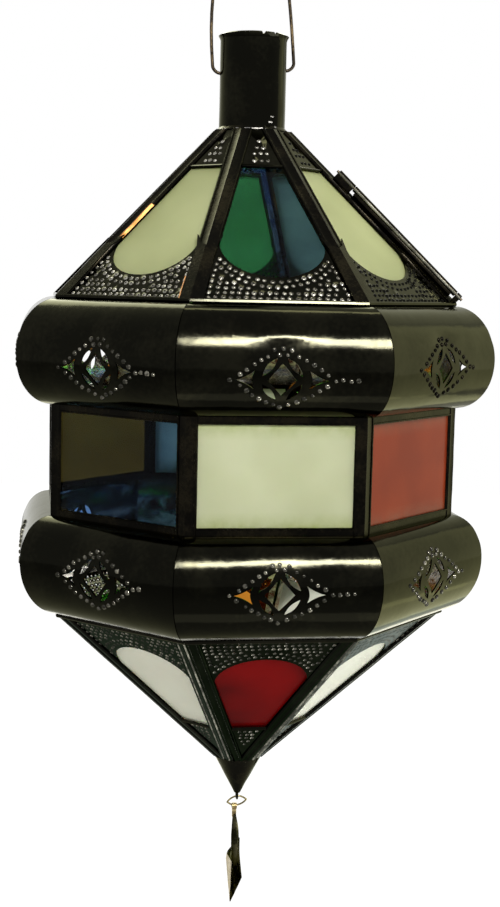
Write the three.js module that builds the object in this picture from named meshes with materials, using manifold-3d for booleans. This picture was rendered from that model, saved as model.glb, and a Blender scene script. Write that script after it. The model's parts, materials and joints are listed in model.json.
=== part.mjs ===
import * as THREE from 'three'
import { mergeVertices } from 'three/addons/utils/BufferGeometryUtils.js'
import Module from 'manifold-3d'

// A hanging octagonal lantern of pierced sheet metal and coloured glass, in millimetres, +Z up.
// The origin is the hanging point, where a hook bears inside the crown of the wire bail.
// Panel 0 faces -Y and the panels are counted counterclockwise seen from above.

const wasm = await Module()
wasm.setup()

// Heights of the storeys, from the hanging point down
const bailDrop = 62
const neckHeight = 50
const roofHeight = 90
const upperRingHeight = 54
const bandHeight = 57.5
const lowerRingHeight = 52
const coneHeight = 92
const finialHeight = 23

// Radii to the corners of the octagon
const sides = 8
const roofTopRadius = 20.4
const roofBaseRadius = 112.5
const bandRadius = 115
const coneRadius = 111
const coneEndRadius = 13.8

// Sheet, glass and the gaps between pieces
const sheet = 0.8
const glass = 2
const clearance = 0.3
const bite = 0.4                 // depth to which two parts of one solid run into each other
const throughCut = 3 * sheet     // how far a cutter reaches on each side of a sheet

// Half-round rings above and below the window band
const upperRingDepth = 19.4
const lowerRingDepth = 17.8
const flangeWidth = 5
const upperMotifDrop = 7.6       // motif centre below the middle of the upper ring
const lowerMotifDrop = 0
const motifHeight = 16
const motifWidth = 14
const petalGap = 1.6
const petalWidth = 4.2
const earGap = 6                 // from the diamond's side corner to the ear's wide end
const earLength = 9.4
const earHalf = 4.4

// Ribs and windows of the roof and of the lower cone, in the plane of a panel
const ribRise = 1
const roofRibHalf = 5.6
const coneRibHalf = 6.4
const ribToWindow = 0.5
const lipHeight = 1.6
const lipReach = 1.5
const roofWindow = { sill: 17, shoulder: 38, head: 94.5 }
const coneWindow = { sill: 36.5, shoulder: 88, head: 109 }
const paneCover = 1.8            // how far a pane runs past its window
const lugWidth = 8
const lugGrip = 2.2

// Pierced dots
const dotSize = 2.6
const dotRow = 5                 // dots in a straight row
const dotArch = 3                // dots that follow the arch
const dotInset = 4.4

// Windows of the band
const bandPostHalf = 5.5
const bandRail = 3.8

// Neck and bail
const neckRadius = 17.8
const neckWall = 1
const rimFlare = 1.1
const rimHeight = 2.4
const neckSeat = 3
const footReach = 1.4
const bailWire = 1.8
const pivotDepth = 20            // bail holes below the rim
const bailLegGap = 4.2           // leg centre outside the neck
const bailBend = 4
const leftShoulder = 27
const rightShoulder = 18
const shoulderDrop = 24
const crownHalf = 13

// Lampholder and its bar
const barDepth = 6               // top of the bar below the rim
const barThickness = 1.5
const barWidth = 16
const barLip = 4
const nippleRadius = 5
const nippleBore = 3.6
const nippleHeight = 16
const nippleStandOut = 5.4
const nutSides = 6
const nutRadius = 8
const nutHeight = 4
const holderRadius = 12.5
const holderWall = 1.4
const capHeight = 14
const holderHeight = 30
const socketRadius = 7.2
const socketDepth = 25
const holderRegister = 2.8       // how far the body runs up inside the cap
const stubGap = 1.8              // bail ends clear of the lampholder

// Door in the roof, on the panel that faces +X
const doorPanel = 2
const doorLow = 3.8
const doorHigh = 109
const doorLap = 3
const doorRibGap = 0.7
const doorGlassGap = 1
const doorWindowInset = 2.2
const doorWindow = { sill: 19, shoulder: 38, head: 90.5 }
const hingePinRadius = 0.7
const knuckleRadius = 1.7
const hingeLift = 1.5            // gap under the knuckles, beyond the clearance
const hingeSpan = { start: 0.6, end: 94 }
const doorBarrel = { start: 4, end: 82 }
const pinStandOut = 1.2
const strapThickness = 0.9
const strapInset = 2             // the strap is this much shorter than the barrel at each end
const latchAt = 46               // latch rivet, up the slope
const latchReach = 13
const latchHalf = 2.3
const latchEndHalf = 1.8
const rivetRadius = 1.1
const rivetHeadRadius = 2
const rivetHead = 0.9

// Finial and pendant
const finialRadius = 13.8
const finialWall = 0.9
const finialPoint = 1.7
const finialSolidTip = 4.5
const spigotHeight = 5
const spigotGap = 0.5
const eyeRadius = 2.6
const eyeHole = 1.4
const eyeThickness = 1.4
const ringWire = 1.4
const ringHalfWidth = 5.3
const ringHalfHeight = 2.9
const ringGap = 0.5
const leafLength = 59.6
const leafHalf = 14
const leafBelly = 36.6           // widest place below the leaf's hole
const leafNeckHalf = 2
const leafSheet = 0.8
const leafNearSlope = 0.26       // slope of the half towards -Y, which is folded forward
const leafFarSlope = -0.09       // slope of the other half
const leafTipBend = 47           // where the leaf's lower edges bend, below its hole
const leafLean = 0.053           // the leaf hangs askew by this angle about Y

// Levels and angles worked out from the driving sizes
const rimZ = -bailDrop
const roofTopZ = rimZ - neckHeight
const roofBaseZ = roofTopZ - roofHeight
const bandTopZ = roofBaseZ - upperRingHeight
const bandBottomZ = bandTopZ - bandHeight
const coneTopZ = bandBottomZ - lowerRingHeight
const coneEndZ = coneTopZ - coneHeight
const finialTopZ = coneEndZ - clearance
const finialTipZ = finialTopZ - finialHeight
const pivotZ = rimZ - pivotDepth
const turn = 2 * Math.PI / sides
const halfTurn = turn / 2
const flat = cornerRadius => cornerRadius * Math.cos(halfTurn)

const ironColour = 0x1b1a16
const finishes = {
  iron: new THREE.MeshStandardMaterial({ color: ironColour, roughness: 0.38, metalness: 0.9 }),
  wire: new THREE.MeshStandardMaterial({ color: 0x2a2318, roughness: 0.45, metalness: 0.9 }),
  brass: new THREE.MeshStandardMaterial({ color: 0x9a8450, roughness: 0.4, metalness: 1 }),
  zinc: new THREE.MeshStandardMaterial({ color: 0xa8a8a0, roughness: 0.4, metalness: 1 }),
  phenolic: new THREE.MeshStandardMaterial({ color: 0x141210, roughness: 0.5, metalness: 0 }),
  white: new THREE.MeshStandardMaterial({ color: 0xd6d8b4, roughness: 0.6, metalness: 0 }),
  blue: new THREE.MeshStandardMaterial({ color: 0x1d4f80, roughness: 0.1, metalness: 0 }),
  red: new THREE.MeshStandardMaterial({ color: 0x8c1512, roughness: 0.1, metalness: 0 }),
  orange: new THREE.MeshStandardMaterial({ color: 0xb4492c, roughness: 0.3, metalness: 0 }),
  green: new THREE.MeshStandardMaterial({ color: 0x1d6b34, roughness: 0.1, metalness: 0 }),
  amber: new THREE.MeshStandardMaterial({ color: 0xb88a1e, roughness: 0.2, metalness: 0 })
}
const roofColours = ['blue', 'white', 'red', 'white', 'green', 'amber', 'red', 'white']
const bandColours = ['white', 'orange', 'blue', 'green', 'white', 'amber', 'white', 'blue']
const coneColours = ['red', 'white', 'blue', 'white', 'amber', 'green', 'blue', 'white']

const lantern = new THREE.Group()

function addPiece(name, geometry, finish, turnAngle = 0) {
  const mesh = new THREE.Mesh(geometry, finishes[finish])
  mesh.name = name
  mesh.rotation.z = turnAngle
  lantern.add(mesh)
}

// Solids for cutting and joining
function solidOf(geometry) {
  const bare = geometry.clone()
  bare.deleteAttribute('normal')
  bare.deleteAttribute('uv')
  const merged = mergeVertices(bare, 1e-4)
  return new wasm.Manifold(new wasm.Mesh({
    numProp: 3,
    vertProperties: new Float32Array(merged.attributes.position.array),
    triVerts: new Uint32Array(merged.index.array)
  }))
}

function geometryOf(solid) {
  const mesh = solid.getMesh()
  const geometry = new THREE.BufferGeometry()
  geometry.setAttribute('position', new THREE.BufferAttribute(new Float32Array(mesh.vertProperties), 3))
  geometry.setIndex(new THREE.BufferAttribute(new Uint32Array(mesh.triVerts), 1))
  return geometry
}

const joined = solids => solids.reduce((whole, solid) => whole.add(solid))
const cut = (solid, cutters) => cutters.reduce((left, cutter) => left.subtract(cutter), solid)

function box(x0, x1, y0, y1, z0, z1) {
  return new THREE.BoxGeometry(x1 - x0, y1 - y0, z1 - z0)
    .translate((x0 + x1) / 2, (y0 + y1) / 2, (z0 + z1) / 2)
}

// A cylinder along Z between two heights
function post(radius, z0, z1, segments = 12) {
  return new THREE.CylinderGeometry(radius, radius, z1 - z0, segments)
    .rotateX(Math.PI / 2)
    .translate(0, 0, (z0 + z1) / 2)
}

// A closed section of [radius, height] pairs, turned about Z
function turned(section, segments, start = 0) {
  const points = section.map(([radius, height]) => new THREE.Vector2(radius, height))
  const onAxis = section[0][0] === 0
  if (!onAxis) points.push(points[0].clone())
  return new THREE.LatheGeometry(points, segments, start).rotateX(Math.PI / 2)
}

const octagonRing = section => turned(section, sides, halfTurn)

function plate(shape, low, high, segments = 8) {
  return new THREE.ExtrudeGeometry(shape, {
    depth: high - low, bevelEnabled: false, curveSegments: segments
  }).translate(0, 0, low)
}

function outline(points) {
  return new THREE.Shape(points.map(([x, y]) => new THREE.Vector2(x, y)))
}

// A flat side between two octagons. Its own x runs along the side, y up the slope and z out of the face.
function panelBetween(lowRadius, lowZ, highRadius, highZ) {
  const run = flat(lowRadius) - flat(highRadius)
  const rise = highZ - lowZ
  const length = Math.hypot(run, rise)
  const matrix = new THREE.Matrix4().makeBasis(
    new THREE.Vector3(1, 0, 0),
    new THREE.Vector3(0, run / length, rise / length),
    new THREE.Vector3(0, -rise / length, run / length)
  ).setPosition(0, -flat(lowRadius), lowZ)
  const lowHalf = lowRadius * Math.sin(halfTurn)
  const highHalf = highRadius * Math.sin(halfTurn)
  return {
    length,
    matrix,
    rise,
    taper: Math.atan((lowHalf - highHalf) / length),
    half: along => lowHalf + (highHalf - lowHalf) * along / length,
    cornerShift: depth => depth * length / rise / Math.cos(halfTurn)
  }
}

const onPanel = (geometry, panel, index = 0) =>
  geometry.applyMatrix4(panel.matrix).rotateZ(index * turn)

const roofPanel = panelBetween(roofBaseRadius, roofBaseZ, roofTopRadius, roofTopZ)
const conePanel = panelBetween(coneEndRadius, coneEndZ, coneRadius, coneTopZ)
const bandPanel = panelBetween(bandRadius, bandBottomZ + clearance, bandRadius, bandTopZ - clearance)

// Wire bail: two stubs in the neck, two legs and a crown that sits off centre, as bent by hand
function bailGeometry() {
  const stubEnd = holderRadius + stubGap
  const legX = neckRadius + bailLegGap
  const crownZ = bailWire / 2
  const at = (x, z) => new THREE.Vector3(x, 0, z)
  const halfWire = (side, shoulder) => [
    new THREE.LineCurve3(at(side * stubEnd, pivotZ), at(side * (legX - bailBend), pivotZ)),
    new THREE.QuadraticBezierCurve3(
      at(side * (legX - bailBend), pivotZ), at(side * legX, pivotZ), at(side * legX, pivotZ + bailBend)),
    new THREE.CubicBezierCurve3(
      at(side * legX, pivotZ + bailBend), at(side * shoulder, -shoulderDrop),
      at(side * crownHalf, crownZ), at(0, crownZ))
  ]
  const path = new THREE.CurvePath()
  halfWire(-1, leftShoulder).forEach(curve => path.add(curve))
  halfWire(1, rightShoulder).reverse().forEach(curve => path.add(new ReversedCurve(curve)))
  const wire = new THREE.Shape().absarc(0, 0, bailWire / 2, 0, 2 * Math.PI)
  return new THREE.ExtrudeGeometry(wire, { steps: 42, curveSegments: 3, extrudePath: path })
}

class ReversedCurve extends THREE.Curve {
  constructor(curve) {
    super()
    this.curve = curve
  }

  getPoint(t, target) {
    return this.curve.getPoint(1 - t, target)
  }
}

// Neck tube with a flared rim, a foot that sits on the roof and two holes for the bail
function neckGeometry() {
  const inner = neckRadius - neckWall
  const tube = solidOf(turned([
    [inner, roofTopZ - neckSeat], [neckRadius, roofTopZ - neckSeat], [neckRadius, roofTopZ + clearance],
    [neckRadius + footReach, roofTopZ + clearance], [neckRadius, roofTopZ + clearance + footReach],
    [neckRadius, rimZ - rimHeight], [neckRadius + rimFlare, rimZ], [inner, rimZ]
  ], 20))
  const hole = new THREE.CylinderGeometry(1, 1, 3 * neckRadius, 10)
    .scale(bailWire / 2 + clearance, 1, bailWire / 2 + clearance)
    .rotateZ(Math.PI / 2)
    .translate(0, 0, pivotZ)
  return geometryOf(tube.subtract(solidOf(hole)))
}

// Roof window: straight sides along the ribs and a round sill
function roofWindowShape(panel, window, margin) {
  const top = panel.half(window.head) - margin
  const shoulder = panel.half(window.shoulder) - margin
  const shape = new THREE.Shape()
  shape.moveTo(top, window.head)
  shape.lineTo(-top, window.head)
  shape.lineTo(-shoulder, window.shoulder)
  shape.absellipse(0, window.shoulder, shoulder, window.shoulder - window.sill, Math.PI, 2 * Math.PI)
  shape.closePath()
  return shape
}

// Cone window: straight sill, straight sides along the ribs and a round head
function coneWindowShape(panel, window, margin) {
  const sill = panel.half(window.sill) - margin
  const shoulder = panel.half(window.shoulder) - margin
  const shape = new THREE.Shape()
  shape.moveTo(-sill, window.sill)
  shape.lineTo(sill, window.sill)
  shape.lineTo(shoulder, window.shoulder)
  shape.absellipse(0, window.shoulder, shoulder, window.head - window.shoulder, 0, Math.PI)
  shape.closePath()
  return shape
}

function trapezium(panel, low, high, margin) {
  const lowHalf = panel.half(low) - margin
  const highHalf = panel.half(high) - margin
  return outline([[-lowHalf, low], [lowHalf, low], [highHalf, high], [-highHalf, high]])
}

// Square dots set cornerwise: a straight row, and a row that keeps its distance from a window's arch
function dotCutters(panel, window, rowAt, margin, archUp) {
  const shoulder = panel.half(window.shoulder) - margin
  const depth = Math.abs((archUp ? window.head : window.sill) - window.shoulder)
  const places = []
  const rowHalf = panel.half(rowAt) - margin - dotSize
  for (let i = 0; i < dotRow; i++) {
    places.push([rowHalf * (2 * i / (dotRow - 1) - 1), rowAt])
  }
  for (let i = 0; i < dotArch; i++) {
    const angle = Math.PI * (i + 1) / (dotArch + 1)
    const rise = (depth + dotInset) * Math.sin(angle)
    places.push([shoulder * Math.cos(angle), window.shoulder + (archUp ? rise : -rise)])
  }
  return places.map(([x, y]) =>
    box(-dotSize / 2, dotSize / 2, -dotSize / 2, dotSize / 2, -throughCut, throughCut)
      .rotateZ(Math.PI / 4)
      .translate(x, y, 0))
}

// A bent lug that grips the top or bottom edge of a pane behind a sheet whose back is at backZ
function lugBoxes(edge, outward, backZ) {
  const foot = [edge + outward * clearance, edge + outward * (clearance + sheet)]
  const lip = [edge - outward * lugGrip, edge + outward * (clearance + sheet)]
  const under = backZ - clearance - glass - clearance
  const span = (range, z0, z1) =>
    box(-lugWidth / 2, lugWidth / 2, Math.min(...range), Math.max(...range), z0, z1)
  return [span(foot, under - sheet, backZ + bite), span(lip, under - sheet, under)]
}

const roofMargin = roofRibHalf + ribToWindow
const coneMargin = coneRibHalf + ribToWindow
const roofPane = { low: roofWindow.sill - paneCover, high: roofWindow.head + paneCover }
const conePane = { low: coneWindow.sill - paneCover, high: coneWindow.head + paneCover }
const paneTop = -sheet - clearance

// A tapering octagonal shell with a raised folded strip over each corner
function ribbedShell(panel, lowRadius, lowZ, highRadius, highZ, ribHalf) {
  const skin = (outside, inside) => solidOf(octagonRing([
    [lowRadius + panel.cornerShift(outside), lowZ], [highRadius + panel.cornerShift(outside), highZ],
    [highRadius - panel.cornerShift(inside), highZ], [lowRadius - panel.cornerShift(inside), lowZ]
  ]))
  const reach = 2 * Math.max(lowRadius, highRadius)
  const strips = joined(Array.from({ length: sides }, (_, i) => solidOf(
    box(-ribHalf, ribHalf, -reach, 0, lowZ - bite, highZ + bite).rotateZ((i + 0.5) * turn))))
  return skin(0, sheet).add(skin(ribRise, bite).intersect(strips))
}

function lipRing(radius, lowZ, highZ) {
  return solidOf(octagonRing([
    [radius - 2 * lipReach, lowZ], [radius + lipReach, lowZ],
    [radius + lipReach, highZ], [radius - 2 * lipReach, highZ]
  ]))
}

// The hinge line lies above the rib between the door's panel and the panel before it
const hingeRib = (() => {
  const base = new THREE.Vector3(0, -roofBaseRadius, roofBaseZ)
  const top = new THREE.Vector3(0, -roofTopRadius, roofTopZ)
  const along = top.clone().sub(base).normalize()
  const across = new THREE.Vector3(1, 0, 0)
  const out = new THREE.Vector3().crossVectors(across, along)
  const foldHalf = Math.acos(
    out.dot(new THREE.Vector3(0, -roofPanel.rise, flat(roofBaseRadius) - flat(roofTopRadius))
      .normalize().applyAxisAngle(new THREE.Vector3(0, 0, 1), halfTurn)))
  const height = ribRise / Math.cos(foldHalf) + clearance + hingeLift + knuckleRadius
  const matrix = new THREE.Matrix4().makeBasis(across, out.clone().negate(), along)
    .setPosition(base.clone().addScaledVector(out, height))
  return { matrix, height, angle: (doorPanel - 0.5) * turn, foldHalf }
})()

// In the hinge's own frame z runs up the rib, x across it towards the door and -y out of the roof
const onHinge = geometry => geometry.applyMatrix4(hingeRib.matrix).rotateZ(hingeRib.angle)

const knuckle = (start, end) => post(knuckleRadius, start, end)

const pinBore = () =>
  solidOf(onHinge(post(hingePinRadius + clearance, hingeSpan.start - bite, hingeSpan.end + bite, 8)))

// Webs that hold the roof's own knuckles on the rib, on the side away from the door
function roofKnuckles() {
  const web = (start, end) => box(-knuckleRadius, 0, 0, hingeRib.height, start, end)
  const spans = [
    [hingeSpan.start, doorBarrel.start - clearance],
    [doorBarrel.end + clearance, hingeSpan.end]
  ]
  return joined(spans.map(([start, end]) =>
    solidOf(onHinge(knuckle(start, end))).add(solidOf(onHinge(web(start, end))))))
}

const doorMargin = roofRibHalf / Math.cos(roofPanel.taper) + doorRibGap
const bayMargin = doorMargin + doorLap
const doorBack = clearance
const doorFace = doorBack + sheet
const latchX = roofPanel.half(latchAt) - roofRibHalf / 2 - clearance / 2

function roofGeometry() {
  const neckHole = solidOf(post(neckRadius + 2 * clearance, roofBaseZ, roofTopZ + bite, 20))
  const glazed = Array.from({ length: sides }, (_, i) => i).filter(i => i !== doorPanel)
  const lugs = glazed.flatMap(i => [
    ...lugBoxes(roofPane.low, -1, -sheet), ...lugBoxes(roofPane.high, 1, -sheet)
  ].map(part => solidOf(onPanel(part, roofPanel, i))))
  const openings = glazed.flatMap(i => [
    plate(roofWindowShape(roofPanel, roofWindow, roofMargin), -throughCut, throughCut, 4),
    ...dotCutters(roofPanel, roofWindow, dotInset + lipHeight, roofMargin, false)
  ].map(part => solidOf(onPanel(part, roofPanel, i))))
  const bay = plate(trapezium(roofPanel, doorLow + doorLap, doorHigh - doorLap, bayMargin),
    -throughCut, throughCut)
  const rivetHole = post(rivetRadius + clearance, -throughCut, throughCut).translate(latchX, latchAt, 0)
  let shell = ribbedShell(roofPanel, roofBaseRadius, roofBaseZ, roofTopRadius, roofTopZ, roofRibHalf)
  shell = shell.add(lipRing(roofBaseRadius, roofBaseZ, roofBaseZ + lipHeight))
  shell = cut(shell, [neckHole, ...openings])
  shell = cut(shell, [bay, rivetHole].map(part => solidOf(onPanel(part, roofPanel, doorPanel))))
  shell = joined([shell, ...lugs, roofKnuckles()])
  return geometryOf(shell.subtract(pinBore()))
}

function paneGeometry(panel, pane, margin) {
  return plate(trapezium(panel, pane.low, pane.high, margin - paneCover), paneTop - glass, paneTop)
    .applyMatrix4(panel.matrix)
}

// Section of a half-round ring panel as [distance from the axis, height], with a flange at each end
function ringSection(topFlat, bottomFlat, topZ, bottomZ, depth) {
  const steps = 10
  const middle = (topZ + bottomZ) / 2
  const curve = inset => Array.from({ length: steps + 1 }, (_, i) => {
    const angle = Math.PI * i / steps
    const base = topFlat + (bottomFlat - topFlat) * (1 - Math.cos(angle)) / 2
    return [base + (depth - inset) * Math.sin(angle),
      middle + ((topZ - bottomZ) / 2 - inset) * Math.cos(angle)]
  })
  const outer = curve(0)
  const inner = curve(sheet).reverse()
  return [
    [topFlat - flangeWidth, topZ], ...outer, [bottomFlat - flangeWidth, bottomZ],
    [bottomFlat - flangeWidth, bottomZ + sheet], ...inner, [topFlat - flangeWidth, topZ - sheet]
  ]
}

// Pierced motif: a diamond, four petals along its sides and a three-cornered ear at each end
function motifCutters() {
  const halfW = motifWidth / 2
  const halfH = motifHeight / 2
  const shapes = [outline([[-halfW, 0], [0, -halfH], [halfW, 0], [0, halfH]])]
  const slope = Math.atan2(halfH, halfW)
  const side = Math.hypot(halfW, halfH)
  for (const [right, up] of [[1, 1], [-1, 1], [-1, -1], [1, -1]]) {
    const angle = Math.atan2(-up * Math.sin(slope), right * Math.cos(slope))
    const out = new THREE.Vector2(right * Math.sin(slope), up * Math.cos(slope))
      .multiplyScalar(petalGap + petalWidth / 2)
    const middle = new THREE.Vector2(right * halfW / 2, up * halfH / 2).add(out)
    const petal = [[-side / 2, 0], [0, -petalWidth / 2], [side / 2, 0], [0, petalWidth / 2]]
    const spot = new THREE.Vector2()
    shapes.push(outline(petal.map(([x, y]) =>
      spot.set(x, y).rotateAround(new THREE.Vector2(), angle).add(middle).toArray())))
  }
  const earStart = halfW + earGap
  for (const right of [1, -1]) {
    const ear = [[earStart, -earHalf], [earStart + earLength, 0], [earStart, earHalf]]
    const turnedEar = ear.map(([x, y]) => [right * x, y])
    shapes.push(outline(right > 0 ? turnedEar : turnedEar.reverse()))
  }
  return shapes
}

function ringPanelGeometry(topRadius, bottomRadius, topZ, bottomZ, depth, motifDrop) {
  const section = ringSection(flat(topRadius), flat(bottomRadius), topZ, bottomZ, depth)
  const reach = Math.max(topRadius, bottomRadius) + depth
  const length = reach * Math.tan(halfTurn) + bite
  const channel = plate(outline(section), -length, length)
    .rotateX(Math.PI / 2).rotateZ(-Math.PI / 2)
  const tip = clearance / 2 / Math.sin(halfTurn)
  const far = 2 * reach
  const wedge = plate(outline([[0, -tip], [-far * Math.tan(halfTurn), -tip - far],
    [far * Math.tan(halfTurn), -tip - far]]), bottomZ - bite, topZ + bite)
  const centreZ = (topZ + bottomZ) / 2 - motifDrop
  const piercings = motifCutters().map(shape => solidOf(
    plate(shape, flat(Math.min(topRadius, bottomRadius)), 2 * reach)
      .rotateX(Math.PI / 2).translate(0, 0, centreZ)))
  return geometryOf(cut(solidOf(channel).intersect(solidOf(wedge)), piercings))
}

// Frame of the window band: eight posts folded over the corners, a rail above and below
const bandPane = { low: bandRail - paneCover, high: bandPanel.length - bandRail + paneCover }

function bandFrameGeometry() {
  const { length } = bandPanel
  const lowZ = bandBottomZ + clearance
  const highZ = bandTopZ - clearance
  const inside = bandRadius - bandPanel.cornerShift(sheet)
  const frame = solidOf(octagonRing([
    [bandRadius, lowZ], [bandRadius, highZ], [inside, highZ], [inside, lowZ]
  ]))
  const halfWindow = bandPanel.half(0) - bandPostHalf
  const windows = []
  const lugs = []
  for (let i = 0; i < sides; i++) {
    windows.push(solidOf(onPanel(
      box(-halfWindow, halfWindow, bandRail, length - bandRail, -throughCut, throughCut), bandPanel, i)))
    for (const part of [...lugBoxes(bandPane.low, -1, -sheet), ...lugBoxes(bandPane.high, 1, -sheet)]) {
      lugs.push(solidOf(onPanel(part, bandPanel, i)))
    }
  }
  return geometryOf(joined([cut(frame, windows), ...lugs]))
}

// Lower cone, open at its end for the finial's spigot
function coneGeometry() {
  let shell = ribbedShell(conePanel, coneEndRadius, coneEndZ, coneRadius, coneTopZ, coneRibHalf)
  shell = shell.add(lipRing(coneRadius, coneTopZ - lipHeight, coneTopZ))
  const openings = []
  const lugs = []
  for (let i = 0; i < sides; i++) {
    const rowAt = conePanel.length - dotInset - lipHeight
    for (const part of [
      plate(coneWindowShape(conePanel, coneWindow, coneMargin), -throughCut, throughCut, 4),
      ...dotCutters(conePanel, coneWindow, rowAt, coneMargin, true)
    ]) openings.push(solidOf(onPanel(part, conePanel, i)))
    for (const part of [...lugBoxes(conePane.low, -1, -sheet), ...lugBoxes(conePane.high, 1, -sheet)]) {
      lugs.push(solidOf(onPanel(part, conePanel, i)))
    }
  }
  return geometryOf(joined([cut(shell, openings), ...lugs]))
}

// Finial: a hollow cone with a spigot on top and a flat eye at its point
const spigotRadius = flat(coneEndRadius - conePanel.cornerShift(sheet)) - spigotGap
const eyeZ = finialTipZ - eyeRadius + eyeHole / 2

function finialGeometry() {
  const bore = spigotRadius - finialWall
  const cone = solidOf(turned([
    [0, finialTipZ], [finialPoint, finialTipZ], [finialRadius, finialTopZ],
    [spigotRadius, finialTopZ], [spigotRadius, finialTopZ + spigotHeight],
    [bore, finialTopZ + spigotHeight], [bore, finialTopZ - finialWall], [0, finialTipZ + finialSolidTip]
  ], 14))
  const ring = new THREE.Shape().absarc(0, 0, eyeRadius, 0, 2 * Math.PI)
  ring.holes.push(new THREE.Path().absarc(0, 0, eyeHole, 0, 2 * Math.PI))
  const eye = plate(ring, -eyeThickness / 2, eyeThickness / 2, 6).rotateY(Math.PI / 2).translate(0, 0, eyeZ)
  return geometryOf(cone.add(solidOf(eye)))
}

// Lampholder on a bar across the neck, above the bail's ends and clear of them
const barTopZ = rimZ - barDepth
const barBottomZ = barTopZ - barThickness
const capTopZ = barBottomZ - clearance
const holderTopZ = capTopZ - capHeight
const holderEndZ = holderTopZ - holderHeight
const nippleTopZ = barTopZ + nippleStandOut

function barGeometry() {
  const wall = neckRadius - neckWall - clearance
  const end = Math.sqrt(wall * wall - barWidth * barWidth / 4)
  const section = outline([
    [-end, barBottomZ - barLip], [-end + barThickness, barBottomZ - barLip],
    [-end + barThickness, barBottomZ], [end - barThickness, barBottomZ],
    [end - barThickness, barBottomZ - barLip], [end, barBottomZ - barLip],
    [end, barTopZ], [-end, barTopZ]
  ])
  const bar = plate(section, -barWidth / 2, barWidth / 2).rotateX(Math.PI / 2).rotateZ(Math.PI / 2)
  return geometryOf(solidOf(bar).subtract(
    solidOf(post(nippleRadius + clearance, barBottomZ - bite, barTopZ + bite, 16))))
}

function nippleGeometry() {
  return turned([
    [nippleBore, nippleTopZ - nippleHeight], [nippleRadius, nippleTopZ - nippleHeight],
    [nippleRadius, nippleTopZ], [nippleBore, nippleTopZ]
  ], 16)
}

function nutGeometry() {
  const hexagon = new THREE.Shape(Array.from({ length: nutSides }, (_, i) =>
    new THREE.Vector2(nutRadius, 0).rotateAround(new THREE.Vector2(), 2 * Math.PI * i / nutSides)))
  hexagon.holes.push(new THREE.Path().absarc(0, 0, nippleRadius + clearance, 0, 2 * Math.PI))
  return plate(hexagon, barTopZ + clearance, barTopZ + clearance + nutHeight)
}

function capGeometry() {
  const collar = nippleRadius + clearance + holderWall
  const shoulder = capHeight / 2
  return turned([
    [nippleRadius + clearance, capTopZ - shoulder], [holderRadius - holderWall, holderTopZ + shoulder / 2],
    [holderRadius - holderWall, holderTopZ], [holderRadius, holderTopZ],
    [holderRadius, holderTopZ + shoulder], [collar, capTopZ - shoulder / 3],
    [collar, capTopZ], [nippleRadius + clearance, capTopZ]
  ], 14)
}

function holderGeometry() {
  const top = holderTopZ - clearance
  const registerRadius = holderRadius - holderWall - clearance
  const register = top + holderRegister
  return turned([
    [0, holderEndZ + socketDepth], [socketRadius, holderEndZ + socketDepth],
    [socketRadius, holderEndZ], [holderRadius, holderEndZ], [holderRadius, top],
    [registerRadius, top], [registerRadius, register], [0, register]
  ], 14)
}

// Door: a sheet that lies over the bay, with a long barrel on the pin and a strap from it to the sheet
function doorGeometry() {
  const sheetPlate = plate(trapezium(roofPanel, doorLow, doorHigh, doorMargin), doorBack, doorFace)
  const glassEdge = bayMargin + doorGlassGap
  const openings = [
    plate(roofWindowShape(roofPanel, doorWindow, glassEdge + doorWindowInset), -sheet, 3 * sheet, 4),
    ...dotCutters(roofPanel, doorWindow, dotInset + lipHeight + doorLow, glassEdge, false)
  ]
  const lugs = [...lugBoxes(doorPane.low, -1, doorBack), ...lugBoxes(doorPane.high, 1, doorBack)]
  const asDoor = part => solidOf(onPanel(part, roofPanel, doorPanel))
  const door = cut(asDoor(sheetPlate), openings.map(asDoor)).add(joined(lugs.map(asDoor)))
  const start = doorBarrel.start + strapInset
  const end = doorBarrel.end - strapInset
  const pinX = -hingeRib.height * Math.sin(hingeRib.foldHalf)
  const pinZ = hingeRib.height * Math.cos(hingeRib.foldHalf)
  const strapReach = roofRibHalf + doorRibGap + doorLap
  const strapLow = ribRise + clearance
  const strapHigh = strapLow + strapThickness
  const straps = [
    box(pinX, strapReach, start, end, strapLow, strapHigh),
    box(pinX - strapThickness, pinX + strapThickness, start, end, strapLow, pinZ),
    box(strapReach - doorLap + doorRibGap, strapReach, start, end, doorBack, strapHigh)
  ]
  const barrel = solidOf(onHinge(knuckle(doorBarrel.start, doorBarrel.end)))
  return geometryOf(joined([door, barrel, ...straps.map(part => solidOf(besideRib(part)))])
    .subtract(pinBore()))
}

// A frame that lies in the door's panel with y up the hinge's rib, x from the rib and z out of the panel
function besideRib(geometry) {
  return onPanel(geometry.rotateZ(-roofPanel.taper).translate(-roofPanel.half(0), 0, 0), roofPanel, doorPanel)
}

const doorPane = { low: doorWindow.sill - paneCover, high: doorWindow.head + paneCover }

function doorGlassGeometry() {
  return onPanel(plate(trapezium(roofPanel, doorPane.low, doorPane.high, bayMargin + doorGlassGap),
    doorBack - clearance - glass, doorBack - clearance), roofPanel, doorPanel)
}

function hingePinGeometry() {
  return onHinge(post(hingePinRadius, hingeSpan.start - pinStandOut, hingeSpan.end + pinStandOut, 8))
}

// Turn-button latch on a rivet through the rib beside the door, turned aside along the rib at rest
const latchBack = Math.max(ribRise, doorFace) + clearance
const latchFace = latchBack + sheet

function latchGeometry() {
  const shape = new THREE.Shape()
  shape.absarc(0, 0, latchHalf, 0, Math.PI)
  shape.lineTo(-latchEndHalf, -latchReach)
  shape.lineTo(latchEndHalf, -latchReach)
  shape.closePath()
  shape.holes.push(new THREE.Path().absarc(0, 0, rivetRadius + clearance, 0, 2 * Math.PI))
  return onPanel(plate(shape, latchBack, latchFace, 6).rotateZ(roofPanel.taper).translate(latchX, latchAt, 0),
    roofPanel, doorPanel)
}

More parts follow.
